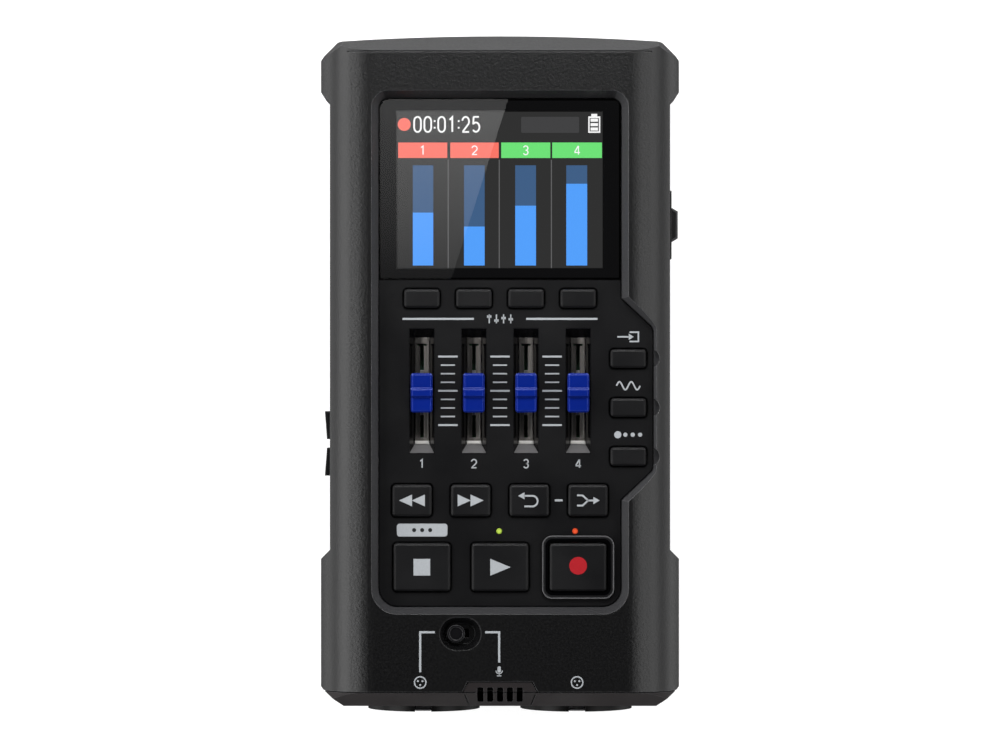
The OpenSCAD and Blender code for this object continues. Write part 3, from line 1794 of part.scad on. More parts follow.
module screws() {
  socket_d = 2;
  color("gray") {
    at_bosses()
      difference() {
        union() {
          translate([0, 0, screw_seat - screw_head_h])
            cylinder(d = screw_head_d, h = screw_head_h);
          translate([0, 0, screw_seat - root])
            cylinder(d = screw_d, h = z_split + screw_reach - screw_seat + root);
        }
        translate([0, 0, screw_seat - screw_head_h - over])
          cylinder(d = socket_d, h = over + screw_head_h / 2, $fn = 6);
      }
    at_posts()
      translate([0, 0, z_under]) {
        translate([0, 0, -post_head_h])
          cylinder(d = post_head_d, h = post_head_h);
        cylinder(d = post_screw_d, h = board_t + post_screw_l);
      }
  }
}

if (shows("front_case")) front_case();
if (shows("rear_case")) rear_case();
if (shows("bottom_end_cap")) bottom_end_cap();
if (shows("control_panel")) control_panel();
if (shows("display_lens")) display_lens();
if (shows("display_module")) display_module();
if (shows("main_board")) main_board();
if (shows("input_board")) input_board();
if (shows("key_switches")) key_switches();
if (shows("slide_switches")) slide_switches();
if (shows("play_lamp")) lamp(0);
if (shows("record_lamp")) lamp(1);
if (shows("select_knob")) select_knob();
if (shows("power_bezel")) power_bezel();
if (shows("power_knob")) power_knob();
if (shows("volume_up_key")) volume_key(1);
if (shows("volume_down_key")) volume_key(-1);
if (shows("headphone_socket")) audio_socket(headphone_y);
if (shows("line_out_socket")) audio_socket(line_out_y);
if (shows("usb_socket")) usb_socket();
if (shows("card_socket")) card_socket();
if (shows("card_cover")) card_cover();
if (shows("jack_a_housing")) jack_housing(-1);
if (shows("jack_a_insert")) jack_insert(-1);
if (shows("jack_a_latch")) jack_latch(-1);
if (shows("jack_b_housing")) jack_housing(1);
if (shows("jack_b_insert")) jack_insert(1);
if (shows("jack_b_latch")) jack_latch(1);
if (shows("mic_capsule")) mic_capsule();
if (shows("speaker")) speaker();
if (shows("battery_door")) battery_door();
if (shows("battery_cells")) battery_cells();
if (shows("battery_contacts")) battery_contacts();
if (shows("tripod_bush")) tripod_bush();
if (shows("rubber_feet")) rubber_feet();
if (shows("screws")) screws();
if (shows("fader_frames")) fader_frames();
for (i = [0:3])
  if (shows(str("fader_lever_", i + 1))) fader_lever(i);
for (i = [0:3])
  if (shows(str("fader_cap_", i + 1))) fader_cap(i);
for (i = [0:len(key_names) - 1])
  if (shows(key_names[i])) key(i);
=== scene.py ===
"""Looks of a handheld multitrack recorder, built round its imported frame.

Metres, in the frame's own axes: X across the control panel, Y towards the display end, Z up.
Sizes that a person would measure on the object are written in millimetres, times MM.
"""

import json
import math

import bpy
import bmesh
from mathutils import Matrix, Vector


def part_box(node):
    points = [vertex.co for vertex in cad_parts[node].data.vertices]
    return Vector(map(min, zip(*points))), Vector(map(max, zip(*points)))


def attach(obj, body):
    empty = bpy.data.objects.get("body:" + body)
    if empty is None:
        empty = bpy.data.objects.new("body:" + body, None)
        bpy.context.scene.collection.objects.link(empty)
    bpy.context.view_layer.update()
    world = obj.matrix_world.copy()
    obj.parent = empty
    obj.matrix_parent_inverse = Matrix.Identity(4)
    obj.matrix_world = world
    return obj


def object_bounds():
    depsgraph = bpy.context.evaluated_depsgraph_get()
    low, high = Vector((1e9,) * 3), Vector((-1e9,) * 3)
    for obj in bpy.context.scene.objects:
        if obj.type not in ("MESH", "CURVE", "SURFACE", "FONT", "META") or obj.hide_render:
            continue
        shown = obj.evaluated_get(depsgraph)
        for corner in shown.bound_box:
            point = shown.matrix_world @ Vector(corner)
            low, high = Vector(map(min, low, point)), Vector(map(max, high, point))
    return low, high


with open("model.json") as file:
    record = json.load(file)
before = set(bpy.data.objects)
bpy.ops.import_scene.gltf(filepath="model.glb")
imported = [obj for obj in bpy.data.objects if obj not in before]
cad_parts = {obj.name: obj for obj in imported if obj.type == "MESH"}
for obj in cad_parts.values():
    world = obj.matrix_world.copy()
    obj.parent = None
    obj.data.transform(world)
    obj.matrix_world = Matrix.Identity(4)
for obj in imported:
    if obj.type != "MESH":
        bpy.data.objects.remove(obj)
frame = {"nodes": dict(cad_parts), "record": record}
cad_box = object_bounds()
nodes = frame["nodes"]

MM = 0.001
# print and screen marks are this thick, so that each one is a closed solid
MARK_T = 0.03 * MM

# Levels of the main faces, read from the frame
PANEL_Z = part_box("play_lamp")[1].z
RIM_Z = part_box("front_case")[1].z
SCREEN_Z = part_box("display_module")[1].z
FADER_PITCH = (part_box("fader_cap_2")[0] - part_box("fader_cap_1")[0]).x


def centre(node):
    """The middle of a node's box."""
    low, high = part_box(node)
    return (low + high) / 2


# Camera, straight above the panel

CAMERA_HEIGHT = 1.0
IMAGE_W = 1000
FOCAL_PX = 4220
SENSOR = 36.0

camera_data = bpy.data.cameras.new("camera")
camera_data.sensor_fit = "HORIZONTAL"
camera_data.sensor_width = SENSOR
camera_data.lens = FOCAL_PX / IMAGE_W * SENSOR
camera_data.clip_end = 20
camera = bpy.data.objects.new("camera", camera_data)
camera.location = (0, 0, PANEL_Z + CAMERA_HEIGHT)
bpy.context.collection.objects.link(camera)
bpy.context.scene.camera = camera
bpy.context.scene.view_settings.view_transform = "Standard"


# Materials


def srgb(r, g, b):
    """A colour as the screen shows it, 0 to 255, in linear light."""
    def linear(v):
        v /= 255
        return v / 12.92 if v <= 0.04045 else ((v + 0.055) / 1.055) ** 2.4
    return (linear(r), linear(g), linear(b), 1)


def map_range(tree, value, start, end, low, high, kind="LINEAR"):
    """Maps start..end of a value on to low..high, and holds it there outside."""
    node = tree.nodes.new("ShaderNodeMapRange")
    node.interpolation_type = kind
    ends = {"From Min": start, "From Max": end, "To Min": low, "To Max": high}
    for name, number in ends.items():
        node.inputs[name].default_value = number
    tree.links.new(value, node.inputs["Value"])
    return node.outputs["Result"]


class Shader:
    """A node material with one Principled shader, and short ways to add detail to it."""

    def __init__(self, name, colour, roughness, metallic=0.0, specular=0.5):
        self.material = bpy.data.materials.new(name)
        self.material.use_nodes = True
        self.tree = self.material.node_tree
        self.shader = self.tree.nodes["Principled BSDF"]
        self.shader.inputs["Base Color"].default_value = colour
        self.shader.inputs["Roughness"].default_value = roughness
        self.shader.inputs["Metallic"].default_value = metallic
        self.shader.inputs["Specular IOR Level"].default_value = specular
        self.colour = colour
        self.coordinates = None
        self.surface = None
        self.tone = None
        self.rough = None
        self.normal = None

    def add(self, kind, **values):
        node = self.tree.nodes.new(kind)
        for name, value in values.items():
            setattr(node, name, value)
        return node

    def link(self, source, target):
        self.tree.links.new(source, target)

    def set_tone(self, source):
        self.tone = source
        self.link(source, self.shader.inputs["Base Color"])

    def set_rough(self, source):
        self.rough = source
        self.link(source, self.shader.inputs["Roughness"])

    def set_normal(self, source):
        self.normal = source
        self.link(source, self.shader.inputs["Normal"])

    def position(self, stretch=(1, 1, 1)):
        """Object coordinates in metres, stretched for brushed or moulded grain."""
        if self.coordinates is None:
            self.coordinates = self.add("ShaderNodeTexCoord")
        mapping = self.add("ShaderNodeMapping")
        mapping.inputs["Scale"].default_value = stretch
        self.link(self.coordinates.outputs["Object"], mapping.inputs["Vector"])
        return mapping.outputs["Vector"]

    def noise(self, size, detail=2.0, stretch=(1, 1, 1)):
        """Noise whose main grain has the given size."""
        node = self.add("ShaderNodeTexNoise")
        node.inputs["Scale"].default_value = 1 / size
        node.inputs["Detail"].default_value = detail
        self.link(self.position(stretch), node.inputs["Vector"])
        return node.outputs["Fac"]

    def spread(self, value, low, high, start=0.3, end=0.7):
        """Maps start..end of a value on to low..high."""
        return map_range(self.tree, value, start, end, low, high)

    def mottle(self, size, depth, detail=3.0, stretch=(1, 1, 1)):
        """Varies the colour by depth, up and down."""
        mix = self.add("ShaderNodeMix", data_type="RGBA")
        mix.inputs["A"].default_value = [c * (1 - depth) for c in self.colour[:3]] + [1]
        mix.inputs["B"].default_value = [min(1, c * (1 + depth)) for c in self.colour[:3]] + [1]
        self.link(self.spread(self.noise(size, detail, stretch), 0, 1), mix.inputs["Factor"])
        self.set_tone(mix.outputs["Result"])
        return self

    def worn(self, size, low, high, stretch=(1, 1, 1)):
        """Varies the roughness between low and high."""
        self.set_rough(self.spread(self.noise(size, 3.0, stretch), low, high))
        return self

    def soft_rim(self, size, low, high, rise=0.6):
        """Varies the roughness between low and high, and raises it where the face turns away."""
        facing = self.add("ShaderNodeLayerWeight")
        facing.inputs["Blend"].default_value = 0.5
        total = self.add("ShaderNodeMath", operation="ADD")
        self.link(self.spread(self.noise(size, 3.0), low, high), total.inputs[0])
        self.link(self.spread(facing.outputs["Facing"], 0, rise, 0.38, 0.85), total.inputs[1])
        self.set_rough(total.outputs[0])
        return self

    def near_edges(self, bevel):
        """1 on sharp edges and 0 away from them."""
        turn = self.add("ShaderNodeVectorMath", operation="DOT_PRODUCT")
        self.link(bevel.outputs["Normal"], turn.inputs[0])
        self.link(self.geometry("Normal"), turn.inputs[1])
        return self.spread(turn.outputs["Value"], 1, 0, 0.8, 0.98)

    def bevel(self, radius):
        """Normals of the shape with its edges rounded."""
        node = self.add("ShaderNodeBevel", samples=4)
        node.inputs["Radius"].default_value = radius
        return node

    def edges(self, radius, colour):
        """Rounds sharp edges to the eye, and turns them towards a colour: partly wear, partly a painted
        highlight.
        """
        bevel = self.bevel(radius)
        self.blend(self.near_edges(bevel), colour)
        self.set_normal(bevel.outputs["Normal"])
        return self

    def geometry(self, output):
        """The place or the normal of the surface."""
        if self.surface is None:
            self.surface = self.add("ShaderNodeNewGeometry")
        return self.surface.outputs[output]

    def within(self, source, axis, low, high):
        """1 where a part of the place, the normal or another vector lies in low..high, else 0."""
        split = self.add("ShaderNodeSeparateXYZ")
        self.link(self.geometry(source) if isinstance(source, str) else source, split.inputs[0])
        near = self.add("ShaderNodeMath", operation="COMPARE")
        self.link(split.outputs[axis], near.inputs[0])
        near.inputs[1].default_value = (low + high) / 2
        near.inputs[2].default_value = (high - low) / 2
        return near.outputs[0]

    def close_to(self, node, reach, radius):
        """1 within reach of a node's box, with rounded corners, seen from above, else 0."""
        low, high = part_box(node)
        half = (high - low) / 2
        inset = radius - reach
        steps = (
            ("SUBTRACT", (low + high) / 2),
            ("ABSOLUTE", (0, 0, 0)),
            ("SUBTRACT", (half.x - inset, half.y - inset, 1)),
            ("MAXIMUM", (0, 0, 0)),
        )
        place = self.geometry("Position")
        for operation, value in steps:
            step = self.add("ShaderNodeVectorMath", operation=operation)
            self.link(place, step.inputs[0])
            step.inputs[1].default_value = value
            place = step.outputs["Vector"]
        gap = self.add("ShaderNodeVectorMath", operation="LENGTH")
        self.link(place, gap.inputs[0])
        near = self.add("ShaderNodeMath", operation="LESS_THAN")
        self.link(gap.outputs["Value"], near.inputs[0])
        near.inputs[1].default_value = radius
        return near.outputs[0]

    def every(self, *masks):
        """1 where all the masks are 1."""
        result = masks[0]
        for mask in masks[1:]:
            product = self.add("ShaderNodeMath", operation="MULTIPLY")
            self.link(result, product.inputs[0])
            self.link(mask, product.inputs[1])
            result = product.outputs[0]
        return result

    def blend(self, mask, colour):
        """Turns the tone to a colour where the mask is 1."""
        mix = self.add("ShaderNodeMix", data_type="RGBA")
        mix.inputs["B"].default_value = colour
        self.link(mask, mix.inputs["Factor"])
        self.link(self.tone, mix.inputs["A"])
        self.set_tone(mix.outputs["Result"])
        return self

    def polish(self, mask, roughness):
        """Turns the roughness to a value where the mask is 1."""
        mix = self.add("ShaderNodeMix")
        mix.inputs["B"].default_value = roughness
        self.link(mask, mix.inputs["Factor"])
        self.link(self.rough, mix.inputs["A"])
        self.set_rough(mix.outputs["Result"])
        return self

    def bump(self, level, height, strength=1.0):
        """Raises the face to the eye by height where the level is 1."""
        node = self.add("ShaderNodeBump")
        node.inputs["Strength"].default_value = strength
        node.inputs["Distance"].default_value = height
        self.link(level, node.inputs["Height"])
        if self.normal is not None:
            self.link(self.normal, node.inputs["Normal"])
        self.set_normal(node.outputs["Normal"])
        return self

    def grain(self, size, height, strength=1.0, stretch=(1, 1, 1)):
        """Fine bumps of the given size and height."""
        return self.bump(self.noise(size, 2.0, stretch), height, strength)

    def crown(self, start, end, drop):
        """Lets the face fall away softly between two distances from the middle plane."""
        split = self.add("ShaderNodeSeparateXYZ")
        self.link(self.position(), split.inputs[0])
        away = self.add("ShaderNodeMath", operation="ABSOLUTE")
        self.link(split.outputs["X"], away.inputs[0])
        fall = map_range(self.tree, away.outputs[0], start, end, 1, 0, "SMOOTHSTEP")
        return self.bump(fall, drop)


def glow(name, colour, strength):
    """A lit part: the screen and the lamps."""
    made = Shader(name, (0.001, 0.001, 0.001, 1), 0.6, specular=0.0)
    made.mottle(0.3 * MM, 0.1)
    made.shader.inputs["Emission Color"].default_value = colour
    made.shader.inputs["Emission Strength"].default_value = strength
    return made


def lamp_lens(name, colour, rim):
    """A small lamp, darker towards its rim."""
    made = glow(name, colour, 0.9)
    mix = made.add("ShaderNodeMix", data_type="RGBA")
    mix.inputs["A"].default_value = colour
    mix.inputs["B"].default_value = rim
    made.link(made.near_edges(made.bevel(0.4 * MM)), mix.inputs["Factor"])
    made.link(mix.outputs["Result"], made.shader.inputs["Emission Color"])
    return made


def moulded(name, colour, roughness, grain_size, grain_height, specular=0.5, edge=srgb(80, 80, 82)):
    """Spark-eroded moulded plastic, its edges turned towards the edge colour: partly wear, partly a painted
    highlight.
    """
    made = Shader(name, colour, roughness, specular=specular)
    made.mottle(9 * MM, 0.06)
    made.soft_rim(14 * MM, roughness - 0.05, roughness + 0.06)
    made.edges(0.25 * MM, edge)
    made.grain(grain_size, grain_height)
    return made


def plated(name, colour, roughness, stretch):
    """Drawn or rolled metal, its fine lines running along one axis."""
    made = Shader(name, colour, roughness, metallic=1.0)
    made.mottle(0.5 * MM, 0.12, stretch=stretch)
    made.worn(0.4 * MM, roughness - 0.08, roughness + 0.1, stretch)
    # paler edges: partly wear, partly a painted highlight
    made.edges(0.08 * MM, srgb(185, 183, 180))
    made.grain(0.3 * MM, 0.004 * MM, stretch=stretch)
    return made


# room left round the recess and its walls when they are picked out by place
ROOM = 3 * MM
# the front face falls away between these distances from the middle plane
CROWN = (29.4 * MM, 35.2 * MM)
CROWN_DROP = 0.55 * MM
# faces this close to the panel's level count as level with it
PANEL_SLACK = 0.1 * MM


def wall_tones(made):
    """Painted light on the bevelled walls of the recess and on the band at the display end of the case, and
    painted shade on the recess wall at the display end.
    """
    low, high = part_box("control_panel")
    # painted light: paler bevelled walls of the recess
    walls = made.every(
        made.within("Normal", "Z", 0.2, 0.6),
        made.within("Position", "X", low.x - ROOM, high.x + ROOM),
        made.within("Position", "Y", low.y - ROOM, high.y + ROOM),
        made.within("Position", "Z", PANEL_Z - ROOM, RIM_Z),
    )
    # painted shade: a darker wall at the display end of the recess
    far_wall_painted_shade = made.every(
        walls,
        made.within("Normal", "Y", -1, -0.3),
        made.within("Normal", "X", -0.3, 0.3),
    )
    # painted light: a paler band at the display end of the case
    top_band_painted_light = made.every(
        made.within("Normal", "Y", 0.3, 0.98),
        made.within("Normal", "Z", 0.15, 0.95),
        made.within("Position", "Y", high.y + ROOM, cad_box[1].y),
    )
    made.blend(walls, srgb(54, 54, 56))
    made.blend(far_wall_painted_shade, srgb(30, 30, 32))
    made.blend(top_band_painted_light, srgb(44, 44, 45))


def scallop_tone(made):
    """Painted light on the floors of the finger scallops beside the side keys, which lie in shade."""
    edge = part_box("control_panel")[1].x
    scallops = made.every(
        made.within("Position", "X", edge - MM, edge + ROOM),
        made.within("Position", "Z", PANEL_Z - 0.05 * MM, PANEL_Z + 0.05 * MM),
    )
    # painted light: paler scallop floors
    made.blend(scallops, srgb(46, 46, 48))


def dish_tones(made):
    """Painted shade in the smoother dish of the select knob, and a dull rim in the case's own dark tone."""
    knob = centre("select_knob")
    around = made.every(
        made.within("Position", "X", knob.x - 7 * MM, knob.x + 9 * MM),
        made.within("Position", "Y", knob.y - 6 * MM, knob.y + 4.5 * MM),
    )
    dish = made.every(around, made.within("Position", "Z", PANEL_Z - ROOM, RIM_Z - 0.3 * MM))
    # painted shade in the dish
    made.blend(dish, srgb(13, 13, 14))
    made.polish(dish, 0.24)
    rim = made.every(around, made.near_edges(made.bevel(0.3 * MM)))
    made.blend(rim, srgb(9, 9, 10))
    made.polish(rim, 0.7)


def soft_touch():
    """Rubbery paint of the case, with a fine pebbled grain."""
    made = Shader("soft_touch_case", srgb(9, 9, 10), 0.34)
    made.mottle(0.4 * MM, 0.4, 4.0)
    made.soft_rim(0.5 * MM, 0.28, 0.38)
    wall_tones(made)
    # paler sharp edges: partly wear, partly a painted highlight
    made.edges(0.25 * MM, srgb(100, 100, 102))
    scallop_tone(made)
    dish_tones(made)
    made.crown(*CROWN, CROWN_DROP)
    made.grain(0.6 * MM, 0.06 * MM, 0.8)
    made.grain(0.22 * MM, 0.03 * MM, 0.7)
    return made


def panel_plastic():
    """Fine matt panel: painted highlight on the edges of the record key's ring, painted shade in its
    groove, round the openings and below the face, painted light on the fader slot ramps.
    """
    made = Shader("panel_plastic", srgb(8, 8, 10), 0.4, specular=0.35)
    made.mottle(9 * MM, 0.06)
    made.soft_rim(14 * MM, 0.36, 0.44)
    rims = made.near_edges(made.bevel(0.4 * MM))
    ring_highlight_rims = made.near_edges(made.bevel(0.7 * MM))
    raised = made.within("Position", "Z", PANEL_Z + 0.3 * MM, RIM_Z)
    # painted highlight on the edges of the raised ring round the record key
    made.blend(made.every(ring_highlight_rims, raised), srgb(128, 128, 130))
    # painted shade in the groove between the record key and its ring
    groove_shade = made.close_to("record_key", 0.2 * MM, 1.7 * MM)
    made.blend(groove_shade, srgb(2, 2, 3))
    made.polish(groove_shade, 0.1)
    level = made.within("Position", "Z", PANEL_Z - PANEL_SLACK, PANEL_Z + PANEL_SLACK)
    # painted shade round the openings at the panel's level
    opening_shade = made.every(rims, level)
    made.blend(opening_shade, srgb(2, 2, 3))
    made.polish(opening_shade, 0.1)
    # painted shade on all faces below the panel's face
    below_painted_shade = made.within("Position", "Z", 0, PANEL_Z - PANEL_SLACK)
    made.blend(below_painted_shade, srgb(3, 3, 4))
    made.polish(below_painted_shade, 0.16)
    # painted light on the ramps at the near ends of the fader slots, which face the display
    lit_ramps = made.every(
        below_painted_shade,
        made.within("Normal", "Y", 0.4, 0.95),
        made.within("Normal", "Z", 0.2, 0.95),
    )
    made.blend(lit_ramps, srgb(98, 97, 98))
    made.grain(0.25 * MM, 0.008 * MM)
    return made


# painted shade on the left side of each slot, fading in between these, towards the display
SLOT_SHADE_Y = (-17 * MM, -14 * MM)
# painted light on the near ends of the frames, between these
SLOT_LIT_NEAR_Y = (-30 * MM, -15.6 * MM)


def fader_metal():
    """Rolled steel of the fader frames, with painted shade on the left of each slot towards the display and
    painted light on their near ends.
    """
    made = plated("fader_metal", srgb(138, 134, 130), 0.42, (1, 0.04, 1))
    across = made.add("ShaderNodeSeparateXYZ")
    made.link(made.geometry("Position"), across.inputs[0])
    local = made.add("ShaderNodeMath", operation="WRAP")
    made.link(across.outputs["X"], local.inputs[0])
    local.inputs[1].default_value = FADER_PITCH
    local.inputs[2].default_value = 0
    middle = FADER_PITCH / 2
    left = made.spread(local.outputs[0], 0.85, 0, middle - 0.3 * MM, middle + 0.5 * MM)
    upper = made.spread(across.outputs["Y"], 0, 1, *SLOT_SHADE_Y)
    # painted shade on the left of each slot
    made.blend(made.every(left, upper), srgb(60, 59, 58))
    # painted light on the near ends of the frames
    lit_near_end = made.within("Position", "Y", *SLOT_LIT_NEAR_Y)
    made.blend(lit_near_end, srgb(225, 223, 220))
    made.polish(lit_near_end, 0.62)
    return made


def key_plastic():
    """Keys: a fine grain on top, and painted shade on the edges, which also fall away to the eye."""
    made = Shader("key_plastic", srgb(12, 12, 14), 0.42, specular=0.33)
    made.mottle(9 * MM, 0.06)
    made.soft_rim(14 * MM, 0.37, 0.48)
    bevel = made.bevel(0.6 * MM)
    rims = made.near_edges(bevel)
    # painted shade on the edges of the keys
    made.blend(rims, srgb(2, 2, 3))
    made.polish(rims, 0.2)
    made.set_normal(bevel.outputs["Normal"])
    made.grain(0.22 * MM, 0.01 * MM)
    return made


def fader_blue():
    """Blue caps, with a painted highlight on all edges, brightest on those towards the display, and painted
    shade on those towards the user.
    """
    made = Shader("fader_blue", srgb(0, 28, 118), 0.5, specular=0.08)
    made.mottle(9 * MM, 0.06)
    made.soft_rim(14 * MM, 0.45, 0.56)
    bevel = made.bevel(0.25 * MM)
    rims = made.near_edges(bevel)
    turned = bevel.outputs["Normal"]
    # painted highlight on all edges
    made.blend(rims, srgb(88, 110, 226))
    # brighter painted highlight on the edges towards the display
    made.blend(made.every(rims, made.within(turned, "Y", 0.15, 1)), srgb(150, 166, 255))
    # painted shade on the edges towards the user
    made.blend(made.every(rims, made.within(turned, "Y", -1, -0.15)), srgb(0, 18, 84))
    made.set_normal(turned)
    made.grain(0.2 * MM, 0.006 * MM)
    return made


def lens_glass():
    """Clear glass, polished, over the display."""
    made = Shader("display_lens", (1, 1, 1, 1), 0.0)
    made.shader.inputs["Transmission Weight"].default_value = 1.0
    made.shader.inputs["IOR"].default_value = 1.5
    made.worn(20 * MM, 0.0, 0.004)
    return made


def print_ink(name, colour):
    """Matt ink of the print."""
    made = Shader(name, colour, 0.55, specular=0.3)
    made.mottle(0.4 * MM, 0.05)
    made.grain(0.15 * MM, 0.004 * MM)
    return made


def display_module():
    """Black frame of the display, with a faint painted glow in place of the light that the lens keeps off.
    """
    made = moulded("display_module", srgb(12, 12, 13), 0.4, 0.4 * MM, 0.002 * MM, 0.3)
    # painted light: a faint glow
    made.shader.inputs["Emission Color"].default_value = (1, 1, 1.05, 1)
    made.shader.inputs["Emission Strength"].default_value = 0.0035
    return made


FINISHES = {
    "case_plastic": soft_touch(),
    "panel_plastic": panel_plastic(),
    "lens": lens_glass(),
    "display": display_module(),
    "circuit_board": moulded("circuit_board", srgb(20, 72, 42), 0.35, 0.8 * MM, 0.01 * MM),
    "black_plastic": moulded(
        "black_plastic", srgb(8, 8, 9), 0.36, 0.3 * MM, 0.01 * MM, 0.18, srgb(40, 40, 42)
    ),
    "insert_plastic": moulded("insert_plastic", srgb(16, 16, 18), 0.42, 0.3 * MM, 0.006 * MM),
    "play_light": lamp_lens("play_light", srgb(206, 236, 96), srgb(92, 122, 22)),
    "record_light": lamp_lens("record_light", srgb(255, 96, 56), srgb(132, 34, 18)),
    "knob_plastic": moulded("knob_plastic", srgb(30, 30, 31), 0.42, 0.3 * MM, 0.012 * MM, 0.3),
    "key_plastic": key_plastic(),
    "fader_blue": fader_blue(),
    "lever_metal": plated("lever_metal", srgb(190, 190, 192), 0.32, (1, 0.05, 1)),
    "fader_metal": fader_metal(),
    "socket_metal": plated("socket_metal", srgb(190, 190, 194), 0.3, (0.06, 1, 1)),
    "latch_metal": plated("latch_metal", srgb(150, 150, 154), 0.35, (1, 0.06, 1)),
    "speaker_metal": moulded("speaker_cone", srgb(40, 40, 42), 0.6, 0.3 * MM, 0.02 * MM),
    "cell_jacket": plated("cell_jacket", srgb(96, 104, 110), 0.4, (1, 0.05, 1)),
    "contact_metal": plated("contact_metal", srgb(205, 205, 205), 0.22, (1, 1, 0.1)),
    "bush_brass": plated("bush_brass", srgb(196, 160, 92), 0.3, (1, 1, 0.08)),
    "foot_rubber": moulded("foot_rubber", srgb(20, 20, 20), 0.75, 0.4 * MM, 0.02 * MM),
    "screw_steel": plated("screw_steel", srgb(70, 70, 74), 0.35, (1, 1, 0.1)),
}
# nodes whose finish differs from the rest of their slot
OWN_FINISHES = {
    "select_knob": moulded("select_knob", srgb(14, 14, 16), 0.26, 0.3 * MM, 0.008 * MM, 0.3),
    "bottom_end_cap": moulded("end_cap", srgb(30, 25, 26), 0.58, 0.3 * MM, 0.012 * MM, 0.3),
}
INK = print_ink("print_grey", srgb(168, 172, 176)).material
INK_RED = print_ink("print_red", srgb(168, 18, 30)).material
INK_DARK = print_ink("print_dark", srgb(28, 29, 31)).material

for part in frame["record"]["subparts"]:
    name = part["node"]
    finish = OWN_FINISHES.get(name) or FINISHES[part["material_slot"]]
    mesh = nodes[name].data
    mesh.materials.clear()
    mesh.materials.append(finish.material)


# Flat marks


def prism(name, outlines, z, thickness, material, body):
    """One piece made of closed flat outlines, each a list of (x, y) points in order round it."""
    mesh = bpy.data.meshes.new(name)
    made = bmesh.new()
    for outline in outlines:
        low = [made.verts.new((x, y, z)) for x, y in outline]
        high = [made.verts.new((x, y, z + thickness)) for x, y in outline]
        made.faces.new(high)
        made.faces.new(low[::-1])
        for i in range(len(outline)):
            j = (i + 1) % len(outline)
            made.faces.new((low[i], low[j], high[j], high[i]))
    bmesh.ops.recalc_face_normals(made, faces=made.faces)
    made.to_mesh(mesh)
    made.free()
    mesh.materials.append(material)
    piece = bpy.data.objects.new(name, mesh)
    bpy.context.collection.objects.link(piece)
    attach(piece, body)
    return piece


def rect(x, y, w, h):
    """A rectangle given by its middle and size."""
    return [(x + sx * w / 2, y + sy * h / 2) for sx, sy in ((-1, -1), (1, -1), (1, 1), (-1, 1))]


def span(x0, x1, y0, y1):
    """A rectangle given by its sides."""
    return rect((x0 + x1) / 2, (y0 + y1) / 2, abs(x1 - x0), abs(y1 - y0))


def arc(x, y, r, start, end, steps):
    """Points along an arc, its ends in degrees."""
    turn = [math.radians(start + (end - start) * i / steps) for i in range(steps + 1)]
    return [(x + r * math.cos(t), y + r * math.sin(t)) for t in turn]


def disc(x, y, r, steps=32):
    return arc(x, y, r, 0, 360, steps)[:-1]


def rounded_rect(x, y, w, h, r):
    corners = ((1, 1, 0), (-1, 1, 90), (-1, -1, 180), (1, -1, 270))
    points = []
    for sx, sy, start in corners:
        points += arc(x + sx * (w / 2 - r), y + sy * (h / 2 - r), r, start, start + 90, 6)
    return points


def stroke(points, width):
    """The outline of an open line of the given width, mitred at its bends."""
    left, right = [], []
    for i, p in enumerate(points):
        here = Vector(p)
        before = (here - Vector(points[i - 1])).normalized() if i else None
        after = (Vector(points[i + 1]) - here).normalized() if i < len(points) - 1 else None
        before = before or after
        after = after or before
        along = (before + after).normalized()
        side = Vector((-along.y, along.x)) * width / 2 / max(0.35, along.dot(after))
        left.append(tuple(here + side))
        right.append(tuple(here - side))
    return right + left[::-1]


def ring(x, y, r, width):
    """A closed ring as two half outlines."""
    return [stroke(arc(x, y, r, start, start + 180, 20), width) for start in (0, 180)]


# Digits, drawn with a pen in a cell one high

DIGIT_W = 0.6
DIGIT_STROKES = {
    "0": [
        arc(0.3, 0.7, 0.3, 90, 0, 8) + arc(0.3, 0.3, 0.3, 0, -90, 8),
        arc(0.3, 0.7, 0.3, 90, 180, 8) + arc(0.3, 0.3, 0.3, 180, 270, 8),
    ],
    "1": [[(0.1, 0.8), (0.34, 0.98), (0.34, 0)]],
    "2": [arc(0.3, 0.7, 0.3, 170, -35, 12) + [(0.06, 0.04)], [(0, 0), (0.6, 0)]],
    "3": [arc(0.29, 0.74, 0.26, 160, -90, 12), arc(0.29, 0.25, 0.27, 90, -160, 12)],
    "4": [[(0.46, 0), (0.46, 1)], [(0.44, 1), (0.02, 0.28)], [(0, 0.24), (0.64, 0.24)]],
    "5": [[(0.56, 1), (0.08, 1)], [(0.1, 1), (0.06, 0.5)], arc(0.3, 0.32, 0.31, 140, -145, 14)],
    ":": [[(0, 0.22), (0, 0.34)], [(0, 0.66), (0, 0.78)]],
}


def digits(text, x, y, height, pen, slim=1.0, gap=0.6, colon=0.5):
    """Outlines of plain digits, centred on x and y."""
    rise = height - pen
    width = DIGIT_W * slim * rise + pen
    steps = [colon if c == ":" else width + gap for c in text]
    at = x - (sum(steps) - gap) / 2
    outlines = []
    for c, step in zip(text, steps):
        for line in DIGIT_STROKES[c]:
            placed = [(at + pen / 2 + u * slim * rise, y - rise / 2 + v * rise) for u, v in line]
            outlines.append(stroke(placed, pen))
        at += step
    return outlines


def print_marks(name, outlines, z=PANEL_Z, material=INK, body="case"):
    return prism(name, outlines, z, MARK_T, material, body)


# Scale, lines and numbers round the faders

